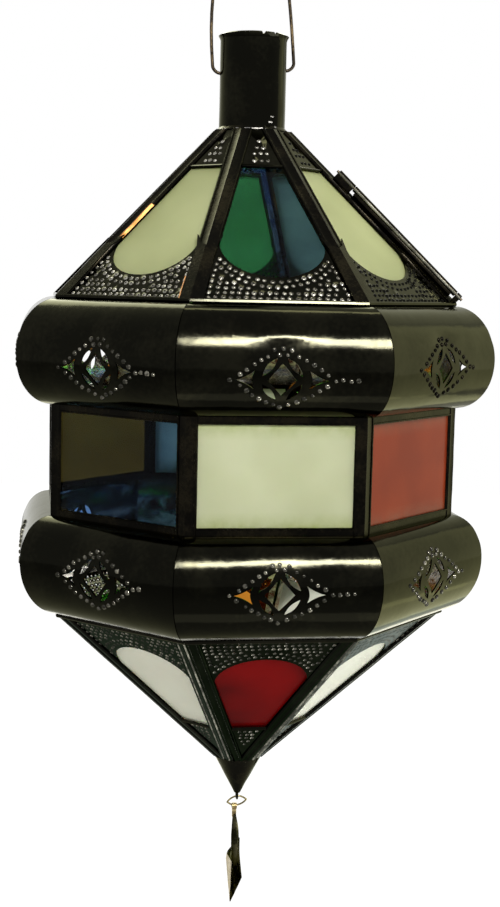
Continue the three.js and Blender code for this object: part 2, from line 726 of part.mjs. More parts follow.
function rivetGeometry() {
  const headLow = latchFace + clearance
  const tailHigh = -sheet - clearance
  return onPanel(turned([
    [0, tailHigh - rivetHead], [rivetHeadRadius, tailHigh - rivetHead], [rivetHeadRadius, tailHigh],
    [rivetRadius, tailHigh], [rivetRadius, headLow], [rivetHeadRadius, headLow],
    [rivetHeadRadius / 2, headLow + rivetHead], [0, headLow + rivetHead]
  ], 10).translate(latchX, latchAt, 0), roofPanel, doorPanel)
}

// Pendant ring: one turn of wire with its ends a hair apart, hung in the finial's eye
const ringTopZ = eyeZ - (eyeHole - ringWire / 2 - clearance)
const ringBottomZ = ringTopZ - 2 * ringHalfHeight
const leafHoleZ = ringBottomZ - (eyeHole - ringWire / 2 - clearance)

class RingCurve extends THREE.Curve {
  getPoint(t, target = new THREE.Vector3()) {
    const open = ringGap / ringHalfHeight
    const angle = open / 2 + (2 * Math.PI - open) * t
    return target.set(ringHalfWidth * Math.cos(angle), 0,
      (ringTopZ + ringBottomZ) / 2 + ringHalfHeight * Math.sin(angle))
  }
}

function ringGeometry() {
  const wire = new THREE.Shape().absarc(0, 0, ringWire / 2, 0, 2 * Math.PI)
  return new THREE.ExtrudeGeometry(wire, { steps: 20, curveSegments: 3, extrudePath: new RingCurve() })
}

// Pendant leaf: a kite of thin sheet bent along its middle, with a hole at the top
function leafGeometry() {
  const shape = new THREE.Shape()
  shape.moveTo(leafNeckHalf, 0)
  shape.absarc(0, 0, eyeRadius, 0, Math.PI)
  shape.quadraticCurveTo(-leafNeckHalf, -leafBelly / 3, -leafHalf, -leafBelly)
  shape.quadraticCurveTo(-leafHalf / 2, -leafTipBend, 0, -leafLength + eyeRadius)
  shape.quadraticCurveTo(leafHalf / 2, -leafTipBend, leafHalf, -leafBelly)
  shape.quadraticCurveTo(leafNeckHalf, -leafBelly / 3, eyeRadius, 0)
  shape.holes.push(new THREE.Path().absarc(0, 0, eyeHole, 0, 2 * Math.PI))
  const blank = plate(shape, -2 * leafHalf, 2 * leafHalf, 4)
    .rotateX(Math.PI / 2).rotateZ(Math.PI / 2).translate(0, 0, leafHoleZ)
  const reach = 2 * leafHalf
  const near = leafNearSlope * reach
  const far = leafFarSlope * reach
  const fold = outline([
    [0, 0], [near, -reach], [near + leafSheet, -reach],
    [leafSheet, 0], [far + leafSheet, reach], [far, reach]
  ])
  const folded = plate(fold, leafHoleZ - leafLength, leafHoleZ + 2 * eyeRadius)
    .translate(-leafSheet / 2, 0, 0)
  return geometryOf(solidOf(blank).intersect(solidOf(folded)))
    .translate(0, 0, -leafHoleZ).rotateY(leafLean).translate(0, 0, leafHoleZ)
}

addPiece('bail_handle', bailGeometry(), 'wire')
addPiece('neck_tube', neckGeometry(), 'iron')
addPiece('roof_shell', roofGeometry(), 'iron')
addPiece('window_frame', bandFrameGeometry(), 'iron')
addPiece('lower_shell', coneGeometry(), 'iron')
addPiece('finial_cone', finialGeometry(), 'iron')

for (let i = 0; i < sides; i++) {
  const angle = i * turn
  addPiece(`upper_bulge_${i}`, ringPanelGeometry(roofBaseRadius, bandRadius,
    roofBaseZ - clearance, bandTopZ, upperRingDepth, upperMotifDrop), 'iron', angle)
  addPiece(`lower_bulge_${i}`, ringPanelGeometry(bandRadius, coneRadius,
    bandBottomZ, coneTopZ + clearance, lowerRingDepth, lowerMotifDrop), 'iron', angle)
  if (i !== doorPanel) {
    addPiece(`roof_glass_${i}`, paneGeometry(roofPanel, roofPane, roofMargin), roofColours[i], angle)
  }
  addPiece(`window_glass_${i}`, paneGeometry(bandPanel, bandPane, bandPostHalf), bandColours[i], angle)
  addPiece(`lower_glass_${i}`, paneGeometry(conePanel, conePane, coneMargin), coneColours[i], angle)
}

addPiece('lamp_crossbar', barGeometry(), 'zinc')
addPiece('cord_nipple', nippleGeometry(), 'zinc')
addPiece('nipple_nut', nutGeometry(), 'zinc')
addPiece('lampholder_cap', capGeometry(), 'phenolic')
addPiece('lampholder_body', holderGeometry(), 'phenolic')
addPiece('door_leaf', doorGeometry(), 'iron')
addPiece('door_glass', doorGlassGeometry(), roofColours[doorPanel])
addPiece('hinge_pin', hingePinGeometry(), 'wire')
addPiece('door_latch', latchGeometry(), 'iron')
addPiece('latch_rivet', rivetGeometry(), 'brass')
addPiece('pendant_ring', ringGeometry(), 'brass')
addPiece('pendant_leaf', leafGeometry(), 'iron')

export default lantern
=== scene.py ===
import bisect
import json
import math
import random

import bmesh
import bpy
from mathutils import Matrix, Vector, noise


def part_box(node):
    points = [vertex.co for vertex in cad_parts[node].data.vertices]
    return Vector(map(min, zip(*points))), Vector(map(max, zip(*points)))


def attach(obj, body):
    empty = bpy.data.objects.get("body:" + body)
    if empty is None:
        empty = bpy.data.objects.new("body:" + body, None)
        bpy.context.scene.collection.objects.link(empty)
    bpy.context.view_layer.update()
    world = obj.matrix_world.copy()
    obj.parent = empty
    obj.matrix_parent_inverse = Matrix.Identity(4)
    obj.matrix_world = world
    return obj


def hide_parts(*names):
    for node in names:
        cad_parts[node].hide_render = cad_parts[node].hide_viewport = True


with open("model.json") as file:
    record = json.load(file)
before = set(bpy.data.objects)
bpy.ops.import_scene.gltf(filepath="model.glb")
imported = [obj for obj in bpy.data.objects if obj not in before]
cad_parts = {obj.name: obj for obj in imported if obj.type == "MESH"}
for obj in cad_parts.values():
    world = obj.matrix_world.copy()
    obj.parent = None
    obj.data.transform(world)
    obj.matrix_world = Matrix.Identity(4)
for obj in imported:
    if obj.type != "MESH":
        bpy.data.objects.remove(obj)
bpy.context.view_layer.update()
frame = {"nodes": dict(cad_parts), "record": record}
print("frame loaded:", len(frame["nodes"]), "nodes")

# Everything is drawn in millimetres, +Z up, and becomes metres when a piece is finished.
# Panel 0 faces -Y and the panels are counted counterclockwise seen from above.
lantern = {
    "sides": 8, "sheet": 0.8, "gap": 0.3, "doorPanel": 2, "seed": 41,
    "roofTopRadius": 20.4, "roofBaseRadius": 112.5, "bandRadius": 115.0,
    "coneRadius": 111.0, "coneEndRadius": 13.8, "ringDrop": 1.7,
}
millimetre = 0.001
turn = math.tau / lantern["sides"]
halfTurn = turn / 2
sheet = lantern["sheet"]


def level(node, end):
    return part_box(node)[end].z / millimetre


rimZ = level("neck_tube", 1)
roofTopZ, roofBaseZ = level("roof_shell", 1), level("roof_shell", 0)
bandTopZ, bandBottomZ = level("upper_bulge_0", 0), level("lower_bulge_0", 1)
coneTopZ, coneEndZ = level("lower_shell", 1), level("lower_shell", 0)
finialTipZ = level("pendant_ring", 1) + lantern["ringDrop"]


def flatOf(cornerRadius):
    return cornerRadius * math.cos(halfTurn)


# Shader tools
class Wire:
    def __init__(self, finish, socket):
        self.finish, self.socket = finish, socket

    def sum(self, operation, first, second):
        return self.finish.node("ShaderNodeMath", {"operation": operation}, {0: first, 1: second})

    def __add__(self, other):
        return self.sum("ADD", self, other)

    def __radd__(self, other):
        return self.sum("ADD", other, self)

    def __sub__(self, other):
        return self.sum("SUBTRACT", self, other)

    def __rsub__(self, other):
        return self.sum("SUBTRACT", other, self)

    def __mul__(self, other):
        return self.sum("MULTIPLY", self, other)

    def __rmul__(self, other):
        return self.sum("MULTIPLY", other, self)


class Finish:
    def __init__(self, owner):
        owner.use_nodes = True
        self.owner = owner
        self.tree = owner.node_tree
        self.tree.nodes.clear()

    def node(self, kind, settings=None, sockets=None, output=0):
        made = self.tree.nodes.new(kind)
        for name, value in (settings or {}).items():
            if name == "stops":
                ramp = made.color_ramp.elements
                for position, colour in value[2:]:
                    ramp.new(position)
                for stop, (position, colour) in zip(ramp, sorted(value)):
                    stop.position, stop.color = position, colour
            else:
                setattr(made, name, value)
        for name, value in (sockets or {}).items():
            if isinstance(value, Wire):
                self.tree.links.new(value.socket, made.inputs[name])
            else:
                made.inputs[name].default_value = value
        return Wire(self, made.outputs[output])

    def place(self, stretch=(1, 1, 1)):
        spot = self.node("ShaderNodeTexCoord", output="Object")
        if stretch == (1, 1, 1):
            return spot
        return self.node("ShaderNodeMapping", None, {"Vector": spot, "Scale": stretch})

    def noise(self, size, detail=3, stretch=(1, 1, 1)):   # size of a patch in millimetres
        return self.node("ShaderNodeTexNoise", None, {
            "Vector": self.place(stretch), "Scale": 1 / (size * millimetre), "Detail": detail})

    def between(self, value, low, high, start=0.0, end=1.0):
        return self.node("ShaderNodeMapRange", {"clamp": True}, {
            "Value": value, "From Min": low, "From Max": high, "To Min": start, "To Max": end})

    def blend(self, factor, first, second):
        return self.node("ShaderNodeMix", {"data_type": "RGBA"}, {0: factor, 6: first, 7: second}, 2)

    def bump(self, height, depth, strength=1.0, normal=None):   # depth in millimetres
        sockets = {"Height": height, "Distance": depth * millimetre, "Strength": strength}
        if normal is not None:
            sockets["Normal"] = normal
        return self.node("ShaderNodeBump", None, sockets)

    def surface(self, shader):
        kind = "World" if isinstance(self.owner, bpy.types.World) else "Material"
        made = self.tree.nodes.new("ShaderNodeOutput" + kind)
        self.tree.links.new(shader.socket, made.inputs["Surface"])
        return self.owner


def newFinish(name):
    return Finish(bpy.data.materials.new(name))


def ironFinish(name, look):
    made = newFinish(name)
    cloud = made.noise(look["cloud"], 4)
    grain = made.noise(look["grain"], 5)
    stain = made.between(cloud * 0.7 + grain * 0.3, 0.46, 0.62)
    tint = made.blend(stain, look["dark"], look["warm"])
    rough = made.between(grain * 0.55 + cloud * 0.45, 0.35, 0.65, *look["rough"])
    waves = made.bump(made.noise(look["wave"], 2), look["waveDepth"])
    normal = made.bump(made.noise(look["pit"], 4), look["pitDepth"], 1.0, waves)
    return made.surface(made.node("ShaderNodeBsdfPrincipled", None, {
        "Base Color": tint, "Metallic": 1.0, "Roughness": rough, "Normal": normal,
        "Specular Tint": look.get("edge", (1, 1, 1, 1))}))


darkEdge = (0.74, 0.74, 0.64, 1)      # keeps the blackened sheet dark where it turns away from the eye
iron = ironFinish("blackenedIron", {
    "dark": (0.0058, 0.0057, 0.0041, 1), "warm": (0.0108, 0.0104, 0.0068, 1), "rough": (0.08, 0.15),
    "edge": darkEdge,
    "cloud": 30, "grain": 2.2, "wave": 19, "waveDepth": 0.16, "pit": 0.9, "pitDepth": 0.006})
coneIron = ironFinish("coneIron", {
    "dark": (0.0054, 0.0055, 0.0044, 1), "warm": (0.01, 0.0102, 0.0076, 1), "rough": (0.09, 0.18),
    "edge": (0.5, 0.53, 0.5, 1),
    "cloud": 30, "grain": 2.2, "wave": 19, "waveDepth": 0.16, "pit": 0.9, "pitDepth": 0.006})
ribIron = ironFinish("foldedIron", {
    "dark": (0.0052, 0.0048, 0.004, 1), "warm": (0.013, 0.011, 0.007, 1), "rough": (0.16, 0.32),
    "edge": darkEdge,
    "cloud": 17, "grain": 1.6, "wave": 8, "waveDepth": 0.12, "pit": 0.7, "pitDepth": 0.012})
# A brighter finish for the beads, standing for their glints (painted highlight); on the ring panels turned
# away from the lamps the beads take the darker rib finish instead (painted shade)
beadIron = ironFinish("beadIron", {
    "dark": (0.03, 0.029, 0.024, 1), "warm": (0.19, 0.18, 0.15, 1), "rough": (0.09, 0.16),
    "edge": darkEdge,
    "cloud": 9, "grain": 1.1, "wave": 4, "waveDepth": 0.04, "pit": 0.5, "pitDepth": 0.008})
# Bare burnished metal for the rims of the dots, made bright as a painted highlight on the panels that face
# the lamps
litBurnish = ironFinish("litDotIron", {
    "dark": (0.12, 0.114, 0.095, 1), "warm": (0.5, 0.48, 0.42, 1), "rough": (0.16, 0.3),
    "cloud": 7, "grain": 0.9, "wave": 3, "waveDepth": 0.05, "pit": 0.5, "pitDepth": 0.01})
# Painted shade: a near-black copy for the dots of the panels turned away from the lamps
shadedDots = ironFinish("shadedDotIron", {
    "dark": (0.002, 0.002, 0.0016, 1), "warm": (0.006, 0.0055, 0.004, 1), "rough": (0.4, 0.6),
    "cloud": 6, "grain": 0.9, "wave": 3, "waveDepth": 0.05, "pit": 0.5, "pitDepth": 0.01})
# Painted highlight: a light finish for the facets along the cone ribs' folds, for a band along the foot of
# each lower ring panel and for the seam strips that show through the gaps between ring panels
sheenEdge = ironFinish("sheenEdge", {
    "dark": (0.05, 0.048, 0.038, 1), "warm": (0.36, 0.35, 0.29, 1), "rough": (0.16, 0.32),
    "cloud": 9, "grain": 1.3, "wave": 3, "waveDepth": 0.05, "pit": 0.5, "pitDepth": 0.01})
solder = ironFinish("solder", {
    "dark": (0.16, 0.155, 0.15, 1), "warm": (0.5, 0.48, 0.44, 1), "rough": (0.25, 0.5),
    "cloud": 5, "grain": 1.1, "wave": 2.4, "waveDepth": 0.15, "pit": 0.6, "pitDepth": 0.03})
wireFinish = ironFinish("darkWire", {
    "dark": (0.03, 0.024, 0.017, 1), "warm": (0.16, 0.115, 0.06, 1), "rough": (0.3, 0.5),
    "cloud": 22, "grain": 1.2, "wave": 3, "waveDepth": 0.03, "pit": 0.5, "pitDepth": 0.012})
# Painted highlight: a bronze colour for the streaks beside two roof ribs
bronzeGlint = ironFinish("bronzeGlint", {
    "dark": (0.34, 0.15, 0.04, 1), "warm": (0.72, 0.36, 0.12, 1), "rough": (0.24, 0.4),
    "cloud": 12, "grain": 4, "wave": 5, "waveDepth": 0.05, "pit": 0.6, "pitDepth": 0.008})
# Painted highlight: a light finish for a line down one side of each hinge barrel
pinSheen = ironFinish("pinSheen", {
    "dark": (0.1, 0.098, 0.075, 1), "warm": (0.5, 0.49, 0.4, 1), "rough": (0.2, 0.32),
    "cloud": 34, "grain": 9, "wave": 9, "waveDepth": 0.03, "pit": 0.9, "pitDepth": 0.004})
bareTin = ironFinish("bareTin", {
    "dark": (0.5, 0.47, 0.43, 1), "warm": (0.9, 0.87, 0.82, 1), "rough": (0.12, 0.26),
    "cloud": 16, "grain": 1.5, "wave": 11, "waveDepth": 0.7, "pit": 0.8, "pitDepth": 0.003})
brassFinish = ironFinish("agedBrass", {
    "dark": (0.12, 0.1, 0.045, 1), "warm": (0.36, 0.3, 0.14, 1), "rough": (0.24, 0.46),
    "cloud": 3, "grain": 0.8, "wave": 2, "waveDepth": 0.03, "pit": 0.4, "pitDepth": 0.012})
zincFinish = ironFinish("zincSteel", {
    "dark": (0.3, 0.3, 0.29, 1), "warm": (0.5, 0.5, 0.47, 1), "rough": (0.3, 0.5),
    "cloud": 6, "grain": 1, "wave": 4, "waveDepth": 0.02, "pit": 0.5, "pitDepth": 0.01})
leafIron = ironFinish("leafIron", {
    "dark": (0.01, 0.01, 0.005, 1), "warm": (0.06, 0.055, 0.028, 1), "rough": (0.2, 0.4),
    "edge": (0.3, 0.3, 0.2, 1),
    "cloud": 9, "grain": 1.4, "wave": 6, "waveDepth": 0.15, "pit": 0.6, "pitDepth": 0.02})
# Painted light: a lighter tan for the far wing of the pendant's leaf, standing for the lit side of its
# fold; the loop is given it too
litLeaf = ironFinish("litLeaf", {
    "dark": (0.2, 0.15, 0.07, 1), "warm": (0.42, 0.34, 0.18, 1), "rough": (0.3, 0.5),
    "cloud": 7, "grain": 1.1, "wave": 6, "waveDepth": 0.1, "pit": 0.6, "pitDepth": 0.02})


def phenolicFinish():
    made = newFinish("blackPhenolic")
    tint = made.blend(made.noise(1.1, 5), (0.006, 0.0055, 0.005, 1), (0.016, 0.014, 0.012, 1))
    rough = made.between(made.noise(3, 3), 0.3, 0.7, 0.32, 0.5)
    return made.surface(made.node("ShaderNodeBsdfPrincipled", None, {
        "Base Color": tint, "Roughness": rough, "Normal": made.bump(made.noise(0.8, 3), 0.01)}))


# Darker along the top and bottom of a pane: how far the darkening reaches, the size of its patches, what it
# covers at least, how much of the light it holds back and how wide the rails beside it are
railDarkening = {"reach": 9, "patch": 6, "least": 0.4, "hides": 0.35, "rail": 2.5}
bandRims = (bandTopZ - railDarkening["rail"], bandBottomZ + railDarkening["rail"])
clearIndex = 1.12      # low, so that what lies behind a clear pane isn't shifted


# Frosted panes spread the light that meets them on either side; blue, green and amber ones are clear
def frostedFinish(name, look):
    made = newFinish(name)
    cloud = made.noise(look["cloud"], 3)
    tint, share = made.blend(made.between(cloud, 0.35, 0.65), look["pale"], look["deep"]), look["share"]
    if "rims" in look:
        height = made.node("ShaderNodeSeparateXYZ", None, {0: made.place()}, 2)
        upper, lower = (edge * millimetre for edge in look["rims"])
        reach = railDarkening["reach"] * millimetre
        darkening = made.between(height, upper - reach, upper) + made.between(height, lower + reach, lower)
        darkening = darkening * made.between(made.noise(railDarkening["patch"], 4), 0.3, 0.7, railDarkening["least"], 1.0)
        tint, share = made.blend(darkening, tint, look["railTint"]), share - darkening * railDarkening["hides"]
    normal = made.bump(made.noise(look["pit"], 2), look["pitDepth"])
    body = made.node("ShaderNodeBsdfPrincipled", None, {
        "Base Color": tint, "Roughness": look["rough"],
        "Specular IOR Level": look["shine"], "Normal": normal})
    glow = made.node("ShaderNodeBsdfTranslucent", None, {"Color": look["through"], "Normal": normal})
    return made.surface(made.node("ShaderNodeMixShader", None, {0: share, 1: body, 2: glow}))


def clearFinish(name, look):
    made = newFinish(name)
    cloud = made.between(made.noise(look["cloud"], 3), 0.35, 0.68)
    tint = made.blend(cloud, look["pale"], look["deep"])
    normal = made.bump(made.noise(look["wave"], 2), look["waveDepth"])
    dust = made.between(made.noise(7, 5), 0.42, 0.75, *look["rough"])
    return made.surface(made.node("ShaderNodeBsdfPrincipled", None, {
        "Base Color": tint, "Roughness": dust, "IOR": clearIndex,
        "Transmission Weight": look["clear"], "Normal": normal}))


paneFinishes = {
    "white_glass": frostedFinish("frostedBandGlass", {
        "pale": (0.58, 0.6, 0.44, 1), "deep": (0.5, 0.52, 0.36, 1), "through": (0.96, 0.97, 0.82, 1),
        "share": 0.5, "shine": 0.12, "rough": 0.34, "cloud": 34, "pit": 1.4, "pitDepth": 0.02,
        "rims": bandRims, "railTint": (0.28, 0.33, 0.09, 1)}),
    "blue_glass": clearFinish("blueGlass", {
        "pale": (0.078, 0.168, 0.34, 1), "deep": (0.056, 0.122, 0.27, 1), "clear": 1.0,
        "rough": (0.01, 0.06), "cloud": 22, "wave": 26, "waveDepth": 0.25}),
    "red_glass": frostedFinish("redGlass", {
        "pale": (0.24, 0.003, 0.003, 1), "deep": (0.06, 0.002, 0.002, 1),
        "through": (0.36, 0.006, 0.006, 1),
        "share": 0.4, "shine": 0.02, "rough": 0.2, "cloud": 60, "pit": 1.6, "pitDepth": 0.01}),
    "orange_glass": frostedFinish("orangeGlass", {
        "pale": (0.24, 0.038, 0.012, 1), "deep": (0.18, 0.028, 0.01, 1), "through": (0.46, 0.078, 0.026, 1),
        "share": 0.35, "shine": 0.08, "rough": 0.22, "cloud": 30, "pit": 1.6, "pitDepth": 0.02,
        "rims": bandRims, "railTint": (0.12, 0.035, 0.015, 1)}),
    "green_glass": clearFinish("greenGlass", {
        "pale": (0.19, 0.66, 0.1, 1), "deep": (0.14, 0.52, 0.07, 1), "clear": 1.0,
        "rough": (0.01, 0.06), "cloud": 24, "wave": 25, "waveDepth": 0.2}),
    "amber_glass": clearFinish("amberGlass", {
        "pale": (0.46, 0.18, 0.02, 1), "deep": (0.36, 0.13, 0.013, 1), "clear": 1.0,
        "rough": (0.01, 0.06), "cloud": 24, "wave": 25, "waveDepth": 0.2}),
}
# The same frosted white glass with a darker base on the roof and a lighter one on the cone: painted shade
# on the roof's panes and painted light on the cone's downward-facing panes
storeyWhites = {
    "roof": frostedFinish("frostedRoofGlass", {
        "pale": (0.5, 0.52, 0.3, 1), "deep": (0.4, 0.42, 0.23, 1), "through": (0.92, 0.95, 0.7, 1),
        "share": 0.5, "shine": 0.12, "rough": 0.34, "cloud": 40, "pit": 1.4, "pitDepth": 0.02}),
    "lower": frostedFinish("frostedConeGlass", {
        "pale": (0.95, 0.95, 0.87, 1), "deep": (0.88, 0.87, 0.78, 1), "through": (1.0, 1.0, 0.95, 1),
        "share": 0.5, "shine": 0.12, "rough": 0.34, "cloud": 30, "pit": 1.4, "pitDepth": 0.02}),
}
nodeFinishes = {
    "zinc_steel": zincFinish, "black_phenolic": phenolicFinish(), "brass": brassFinish,
    "dark_wire": wireFinish, "blackened_iron": iron, **paneFinishes}
print("materials made:", len(nodeFinishes))

for part in frame["record"]["subparts"]:
    piece = frame["nodes"][part["node"]]
    piece.data.materials.clear()
    finish = nodeFinishes[part["material_slot"]]
    if part["material_slot"] == "white_glass":
        finish = storeyWhites.get(part["node"].split("_")[0], finish)
    piece.data.materials.append(finish)
print("frame finished:", len(frame["nodes"]), "nodes")


# Mesh tools
def vertsOf(geometry):
    return [item for item in geometry if isinstance(item, bmesh.types.BMVert)]


def openEdges(geometry):
    return [item for item in geometry if isinstance(item, bmesh.types.BMEdge) and item.is_boundary]


def addLoop(bm, points):
    verts = [bm.verts.new((x, y, 0)) for x, y in points]
    return [bm.edges.new(pair) for pair in zip(verts, verts[1:] + verts[:1])]


def addRim(bm, x, y, radius, segments=8):
    made = bmesh.ops.create_circle(bm, cap_ends=False, segments=segments, radius=radius,
                                   matrix=Matrix.Translation((x, y, 0)))["verts"]
    return list({edge for vert in made for edge in vert.link_edges})


# Draws the rim of a hole down or up in steps of (share of the radius, height), open or closed at the end
def pressRim(bm, rim, centre, steps, closed=False):
    for share, height in steps:
        moved = bmesh.ops.extrude_edge_only(bm, edges=rim)["geom"]
        verts, rim = vertsOf(moved), openEdges(moved)
        bmesh.ops.scale(bm, vec=(share, share, 1), space=Matrix.Translation(-centre), verts=verts)
        bmesh.ops.translate(bm, vec=(0, 0, height), verts=verts)
        for face in {face for edge in rim for face in edge.link_faces}:
            face.material_index = 1
    if closed:
        for face in bmesh.ops.contextual_create(bm, geom=rim)["faces"]:
            face.material_index = 1


# Fills a sheet up to its openings and draws out the rims of its dots
def fillSheet(bm, edges, rims, steps, closed=False):
    bmesh.ops.triangle_fill(bm, use_beauty=True, use_dissolve=False, normal=(0, 0, 1),
                            edges=edges + [edge for centre, rim in rims for edge in rim])
    for face in bm.faces:
        if face.normal.z < 0:
            face.normal_flip()
    for centre, rim in rims:
        pressRim(bm, rim, centre, steps, closed)


# A section drawn out in a straight line
def drawn(points, shift, cuts=0):
    bm = bmesh.new()
    verts = [bm.verts.new(point) for point in points]
    edges = [bm.edges.new(pair) for pair in zip(verts, verts[1:])]
    moved = vertsOf(bmesh.ops.extrude_edge_only(bm, edges=edges)["geom"])
    bmesh.ops.translate(bm, vec=shift, verts=moved)
    if cuts:
        sides = [edge for edge in bm.edges if (edge.verts[0] in moved) != (edge.verts[1] in moved)]
        bmesh.ops.subdivide_edges(bm, edges=sides, cuts=cuts, use_grid_fill=True)
    return bm


def addPart(whole, part, matrix=None, mirrored=False):
    if mirrored:
        bmesh.ops.scale(part, vec=(-1, 1, 1), verts=part.verts)
        bmesh.ops.reverse_faces(part, faces=part.faces)
    if matrix is not None:
        bmesh.ops.transform(part, matrix=matrix, verts=part.verts)
    mesh = bpy.data.meshes.new("part")
    part.to_mesh(mesh)
    part.free()
    whole.from_mesh(mesh)
    bpy.data.meshes.remove(mesh)


def faceOut(bm, direction=Vector((0, 0, 1))):
    bmesh.ops.recalc_face_normals(bm, faces=bm.faces)
    if sum(face.calc_area() * face.normal.dot(direction) for face in bm.faces) < 0:
        bmesh.ops.reverse_faces(bm, faces=bm.faces)
    return bm


def cutThrough(bm, place, way, merge=0.001, clear=False):
    bmesh.ops.bisect_plane(bm, geom=bm.verts[:] + bm.edges[:] + bm.faces[:], dist=merge,
                           plane_co=place, plane_no=way, clear_inner=False, clear_outer=clear)


def fadeOut(share):      # 1 in the middle, falling smoothly to 0 at the edge
    return 0.5 + 0.5 * math.cos(math.pi * min(share, 1))


noise.seed_set(lantern["seed"])      # noise_vector would otherwise differ from run to run


def wobble(bm, amount, size, seed):
    offset = Vector((seed * 7.3, seed * 3.1, seed * 1.7))
    for vert in bm.verts:
        vert.co += amount * noise.noise_vector(vert.co / size + offset)


def block(low, high, bevel=0.18):
    bm = bmesh.new()
    size = Vector(high) - Vector(low)
    bmesh.ops.create_cube(bm, size=1, matrix=Matrix.Translation((Vector(low) + Vector(high)) / 2)
                          @ Matrix.Diagonal(size.to_4d()))
    bmesh.ops.bevel(bm, geom=bm.edges[:], affect="EDGES", offset=bevel, segments=2, profile=0.5,
                    material=-1, clamp_overlap=True)
    return bm


def spinRound(bm, geom, centre, axis, steps):
    bmesh.ops.spin(bm, geom=geom, cent=centre, axis=axis, dvec=(0, 0, 0), angle=math.tau, steps=steps,
                   use_merge=True, use_normal_flip=False, use_duplicate=False)
    bmesh.ops.remove_doubles(bm, verts=bm.verts, dist=0.001)
    bmesh.ops.recalc_face_normals(bm, faces=bm.faces)
    return bm


# A closed section of (radius, height) pairs, turned about the Z axis
def turnedPart(section, steps):
    bm = bmesh.new()
    verts = [bm.verts.new((radius, 0, height)) for radius, height in section]
    edges = [bm.edges.new(pair) for pair in zip(verts, verts[1:] + verts[:1])]
    return spinRound(bm, verts + edges, (0, 0, 0), (0, 0, 1), steps)


def finishPiece(name, bm, finishes, body, replaced=(), wall=0.0, sharp=38, inside=None):
    bmesh.ops.scale(bm, vec=(millimetre,) * 3, verts=bm.verts)
    bm.edges.index_update()
    rim = [edge.index for edge in bm.edges if edge.is_boundary]
    mesh = bpy.data.meshes.new(name)
    bm.to_mesh(mesh)
    bm.free()
    for finish in finishes:
        mesh.materials.append(finish)
    mesh.shade_smooth()
    mesh.set_sharp_from_angle(angle=math.radians(sharp))
    for index in rim:
        mesh.edges[index].use_edge_sharp = True
    piece = bpy.data.objects.new(name, mesh)
    bpy.context.scene.collection.objects.link(piece)
    if wall:
        thickness = piece.modifiers.new("wall", "SOLIDIFY")
        thickness.thickness, thickness.offset = wall * millimetre, -1
        thickness.use_even_offset = False
        if inside:
            mesh.materials.append(inside)
            thickness.material_offset = len(finishes)
    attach(piece, body)
    if replaced:
        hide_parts(*replaced)
    return piece


# A flat side between two octagons. Its own x runs along the side, y up the slope and z out of the face.
class Panel:
    def __init__(self, lowRadius, lowZ, highRadius, highZ):
        run = flatOf(lowRadius) - flatOf(highRadius)
        rise = highZ - lowZ
        self.length = math.hypot(run, rise)
        along, out = run / self.length, rise / self.length
        self.base = Matrix(((1, 0, 0, 0), (0, along, -out, -flatOf(lowRadius)),
                            (0, out, along, lowZ), (0, 0, 0, 1)))
        self.lowHalf = lowRadius * math.sin(halfTurn)
        self.highHalf = highRadius * math.sin(halfTurn)
        self.spread = out * math.tan(halfTurn)
        self.taper = math.atan((self.lowHalf - self.highHalf) / self.length)

    def half(self, along):
        return self.lowHalf + (self.highHalf - self.lowHalf) * along / self.length

    def corner(self, along, height):
        return self.half(along) + height * self.spread

    def place(self, index):
        return Matrix.Rotation(index * turn, 4, "Z") @ self.base

    # Half of a strip folded over the corner, of (distance from the corner, height) pairs
    def halfStrip(self, section, low, high, cuts=0):
        lean = math.cos(self.taper)
        points = [(self.corner(low, height) - away / lean, low, height) for away, height in section]
        part = drawn(points, (self.half(high) - self.half(low), high - low, 0), cuts)
        return faceOut(part)


roofPanel = Panel(lantern["roofBaseRadius"], roofBaseZ, lantern["roofTopRadius"], roofTopZ)
conePanel = Panel(lantern["coneEndRadius"], coneEndZ, lantern["coneRadius"], coneTopZ)
bandPanel = Panel(lantern["bandRadius"], bandBottomZ, lantern["bandRadius"], bandTopZ)


# Pierced sheets of the roof and of the lower cone
def windowLoop(panel, look, steps=28):
    window = look["window"]
    wide = panel.half(window["shoulder"]) - look["margin"]
    narrow = panel.half(window["flatEnd"]) - look["margin"]
    drop = window["archEnd"] - window["shoulder"]
    angles = [math.pi * i / steps for i in range(steps + 1)]
    arch = [(wide * math.cos(angle), window["shoulder"] + drop * math.sin(angle)) for angle in angles]
    return [(narrow, window["flatEnd"])] + arch + [(-narrow, window["flatEnd"])]


